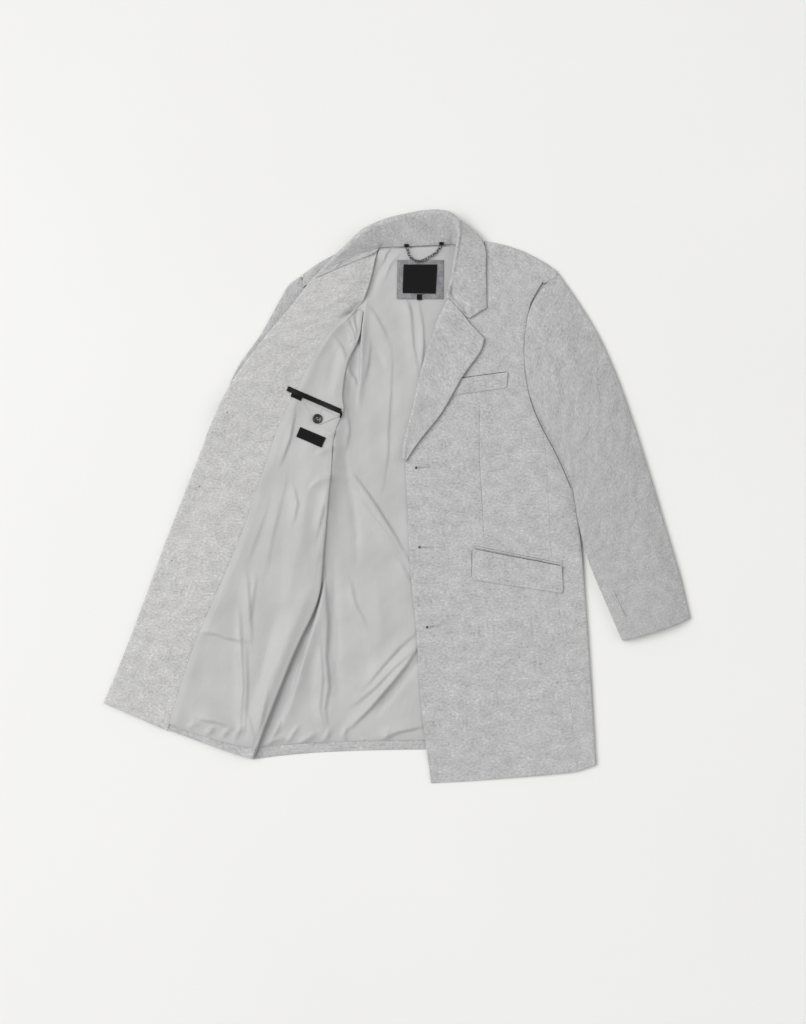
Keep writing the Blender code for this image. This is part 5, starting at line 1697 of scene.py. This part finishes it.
def hole_threads(surface, eye, run, side, length):
    """Thread over both sides of a slit and round its eye."""
    starts, ways = [], []
    for along in np.arange(BUTTONHOLE_EYE + HOLE_START, length, HOLE_PITCH):
        for turn in (-1.0, 1.0):
            starts.append(eye + run * along + side * turn * HOLE_SLIT)
            ways.append(side * turn * HOLE_BAR)
    for angle in np.linspace(HOLE_MOUTH, math.tau - HOLE_MOUTH, HOLE_ROUND):
        way = run * math.cos(angle) + side * math.sin(angle)
        starts.append(eye + way * BUTTONHOLE_EYE)
        ways.append(way * HOLE_EYE_BAR)
    return [stitch(surface, start, start + way, HOLE_THREAD, HOLE_LIFT, 5)
            for start, way in zip(starts, ways)]


def make_buttonholes(coat):
    """Keyhole buttonholes: thread, and dark painted shade in the eye and in the slit."""
    surface = Surface(coat, "front_left")
    threads, eyes, cuts = [], [], []
    for eye, end in BUTTONHOLES.values():
        eye, end = np.array(eye, float), np.array(end, float)
        run = unit(end - eye)
        side = np.array([-run[1], run[0]])
        threads += hole_threads(surface, eye, run, side, np.linalg.norm(end - eye))
        s = np.linspace(0.0, HOLE_OPEN, 12)[:, None]
        cuts.append(tube(surface.drop(eye * (1 - s) + end * s, 0.0), HOLE_CUT, 6))
        across = np.linspace(-1.0, 1.0, len(EYE_FORM))[:, None]
        spot = surface.drop(eye + BUTTONHOLE_EYE * across * run, -HOLE_EYE_SINK)
        eyes.append(tube(spot, BUTTONHOLE_EYE * np.array(EYE_FORM), 10))
    sew(coat, "buttonhole_thread", threads, "pale")
    sew(coat, "buttonhole_eyes", eyes, "dark")
    sew(coat, "buttonhole_cuts", cuts, "line")


def along_line(points, knots, at):
    """Places of the plan at given distances along a line of a few points."""
    return np.stack([np.interp(at, knots, points[:, k]) for k in (0, 1)], axis=-1)


def stitch_border(coat, name, carriers):
    """Stitches round a trim, a margin inside its edge."""
    margin, pitch, radius = BORDERS[name]
    surface = Surface(coat, *carriers)
    edge = trim_corners(name, margin)
    points = np.concatenate([edge, edge[:1]])
    knots = knots_of(points)
    made = []
    for start in np.arange(pitch * STITCH_FIRST, knots[-1] - pitch * STITCH_SHARE, pitch):
        one, two = along_line(points, knots, np.array([start, start + pitch * STITCH_SHARE]))
        made.append(stitch(surface, one, two, radius, STITCH_LIFT, 5))
    return made


def trim_corners(name, margin):
    """Corners of a trim moved in by a margin."""
    corner = np.array(TRIMS[name].corners, float)
    middle = corner.mean(axis=0)
    right, down = unit(corner[1] - corner[0]), unit(corner[3] - corner[0])
    moved = []
    for point in corner:
        away = point - middle
        moved.append(point - margin * (np.sign(away @ right) * right + np.sign(away @ down) * down))
    return np.array(moved)


def seam_line(surface, points, radius, lift=LINE_LIFT):
    """Painted shade of a pressed seam, an edge or a pocket mouth: a thin shadow-coloured cord sunk in the
    cloth, level across gaps.
    """
    points = np.asarray(points, float)
    knots = knots_of(points)
    at = np.linspace(0.0, knots[-1], int(knots[-1] / LINE_STEP) + 3)
    taper = np.clip(np.minimum(at, knots[-1] - at) / LINE_TAPER, LINE_TIP, 1.0)
    path = surface.drop(along_line(points, knots, at), lift)
    found = path[:, 2] > lift + LINE_GAP
    path[:, 2] = np.interp(at, at[found], path[found, 2])
    return tube(path, radius * taper, 6)


def make_seam_lines(coat):
    """Painted shade: dark cords in the pocket mouths, along pressed seams and edges, and in the crease
    between the left sleeve and the body.
    """
    surfaces = {name: Surface(coat, *pieces) for name, pieces in LINE_SURFACES.items()}
    mouths = [seam_line(surfaces[on], points, radius) for on, radius, points in POCKET_MOUTH_SHADE]
    sew(coat, "pocket_mouths", mouths, "shade")
    lines = [seam_line(surfaces[on], points, radius) for on, radius, points in SEAM_SHADE_LINES]
    tab = even(ARMHOLE, "line", WOOL_STEP)
    armhole = np.stack([tab["line_x"], tab["line_y"]], axis=-1)
    for low, high, radius, lift in ARMHOLE_PARTS:
        part = armhole[(armhole[:, 1] > low) & (armhole[:, 1] < high)]
        lines.append(seam_line(surfaces["armhole"], part, radius, lift))
    sew(coat, "pressed_lines", lines, "line")


def make_sewing(coat):
    make_buttonholes(coat)
    make_seam_lines(coat)
    facing = Surface(coat, "facing_right")
    marks = []
    for x, y in zip(THREAD_MARKS["x"], THREAD_MARKS["y"]):
        for turn in MARK_TURNS:
            way = np.array([math.cos(turn), math.sin(turn)]) * MARK_HALF
            marks.append(stitch(facing, (x - way[0], y - way[1]), (x + way[0], y + way[1])))
    sew(coat, "facing_thread", marks, "line")
    neck = ("patch_neck", "label_neck")
    sew(coat, "patch_thread", stitch_border(coat, "patch_neck", neck), "thread")
    rows = stitch_border(coat, "label_neck", neck)
    rows += stitch_border(coat, "label_inner", ("label_inner",))
    sew(coat, "label_thread", rows, "dark")


# Floor, light and camera

def make_floor():
    mesh = bpy.data.meshes.new("floor")
    corners = [(x * FLOOR_HALF, y * FLOOR_HALF, 0) for x, y in ((-1, -1), (1, -1), (1, 1), (-1, 1))]
    mesh.from_pydata(corners, [], [(0, 1, 2, 3)])
    made = Shader("floor_paper", 0.9, gloss=0.1)
    where = made.node("TexCoord")
    noise = made.node("TexNoise")
    noise.inputs["Scale"].default_value = FLOOR_CLOUDS
    made.link(where.outputs["Object"], noise.inputs["Vector"])
    made.colour(made.ramp(noise.outputs["Fac"], FLOOR_TONES))
    mesh.materials.append(made.mat)
    add_object("floor", mesh)


def make_light():
    world = bpy.data.worlds.new("studio")
    world.use_nodes = True
    ground = world.node_tree.nodes["Background"]
    ground.inputs["Color"].default_value = (1.0, 1.0, 1.0, 1.0)
    ground.inputs["Strength"].default_value = WORLD_LIGHT
    bpy.context.scene.world = world
    for name, energy, way in SUNS:
        lamp = bpy.data.lights.new(name, "SUN")
        lamp.angle = math.radians(SUN_SPREAD)
        lamp.energy = energy
        add_object(name, lamp).rotation_euler = Vector(way).to_track_quat("-Z", "Y").to_euler()
    near = bpy.data.lights.new("near_window", "AREA")
    near.shape = "RECTANGLE"
    near.size, near.size_y = NEAR_SIZE
    near.energy = NEAR_LIGHT
    obj = add_object("near_window", near)
    obj.location = NEAR_PLACE
    obj.rotation_euler = (-Vector(NEAR_PLACE)).to_track_quat("-Z", "Y").to_euler()


def make_camera():
    data = bpy.data.cameras.new("camera")
    data.sensor_fit = "AUTO"
    data.sensor_width = SENSOR
    data.lens = SENSOR * CAMERA_HEIGHT / IMAGE_HEIGHT
    data.clip_end = CAMERA_CLIP
    camera = add_object("camera", data)
    x, y = IMAGE_MIDDLE[0] - CENTRE[0], IMAGE_MIDDLE[1] - CENTRE[1]
    camera.location = (x * MM, y * MM, CAMERA_HEIGHT * MM)
    bpy.context.scene.camera = camera
    bpy.context.scene.view_settings.view_transform = "Standard"


def make_sleeves(coat, board, back, front_side, side):
    """Both sleeves, set to the armholes: the right one lies on the table, the left one on the side panel."""
    armhole = np.concatenate([back[:1, -1] - np.array([0.0, ROLL_RADIUS, 0.0]), front_side])
    rest = Board()
    right_tab = even(SLEEVE_RIGHT, "outer", HIDDEN_STEP)
    make_sleeve(coat, "right", right_tab, HIDDEN_STEP, (board, rest), (back[:, 0], back[:, 0]), -1.0)
    rest.cover(side, WOOL / 2)
    left_tab = even(SLEEVE_LEFT, "outer", WOOL_STEP)
    make_sleeve(coat, "left", left_tab, WOOL_STEP, (board, rest), (back[:, -1], armhole), 1.0)


def make_coat():
    """All pieces, from those that lie on the table upwards."""
    coat = {"mats": make_materials()}
    board = Board()
    back, shoulders = make_back(coat, board)
    make_lining_back(coat, board)
    make_trim(coat, board, "patch_neck", "felt")
    make_trim(coat, board, "tab_size", "label")
    make_trim(coat, board, "label_neck", "label")
    front, front_side = make_front_left(coat, board)
    side = make_side_left(coat, board, back, front)
    make_side_right(coat, board, back)
    make_sleeves(coat, board, back, front_side, side)
    for strip in shoulders:
        board.cover(strip, WOOL / 2)
    make_trim(coat, board, "welt_chest", "wool")
    make_trim(coat, board, "jet_hip", "wool")
    make_trim(coat, board, "flap_hip", "wool")
    make_lapel_left(coat, board)
    make_outer_buttons(coat, board)
    make_right_front(coat, board)
    make_chain(coat, board)
    make_collar(coat, board)
    for name in CHAIN_TABS:
        make_chain_tab(coat, board, name)
    make_pocket(coat, board)
    make_sewing(coat)


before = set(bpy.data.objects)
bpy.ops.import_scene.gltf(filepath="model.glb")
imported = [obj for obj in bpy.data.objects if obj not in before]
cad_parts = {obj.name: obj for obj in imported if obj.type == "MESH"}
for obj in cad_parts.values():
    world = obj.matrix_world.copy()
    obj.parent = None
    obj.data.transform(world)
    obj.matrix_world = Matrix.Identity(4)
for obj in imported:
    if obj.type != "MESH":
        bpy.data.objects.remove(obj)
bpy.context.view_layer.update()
make_coat()
make_floor()
make_light()
make_camera()
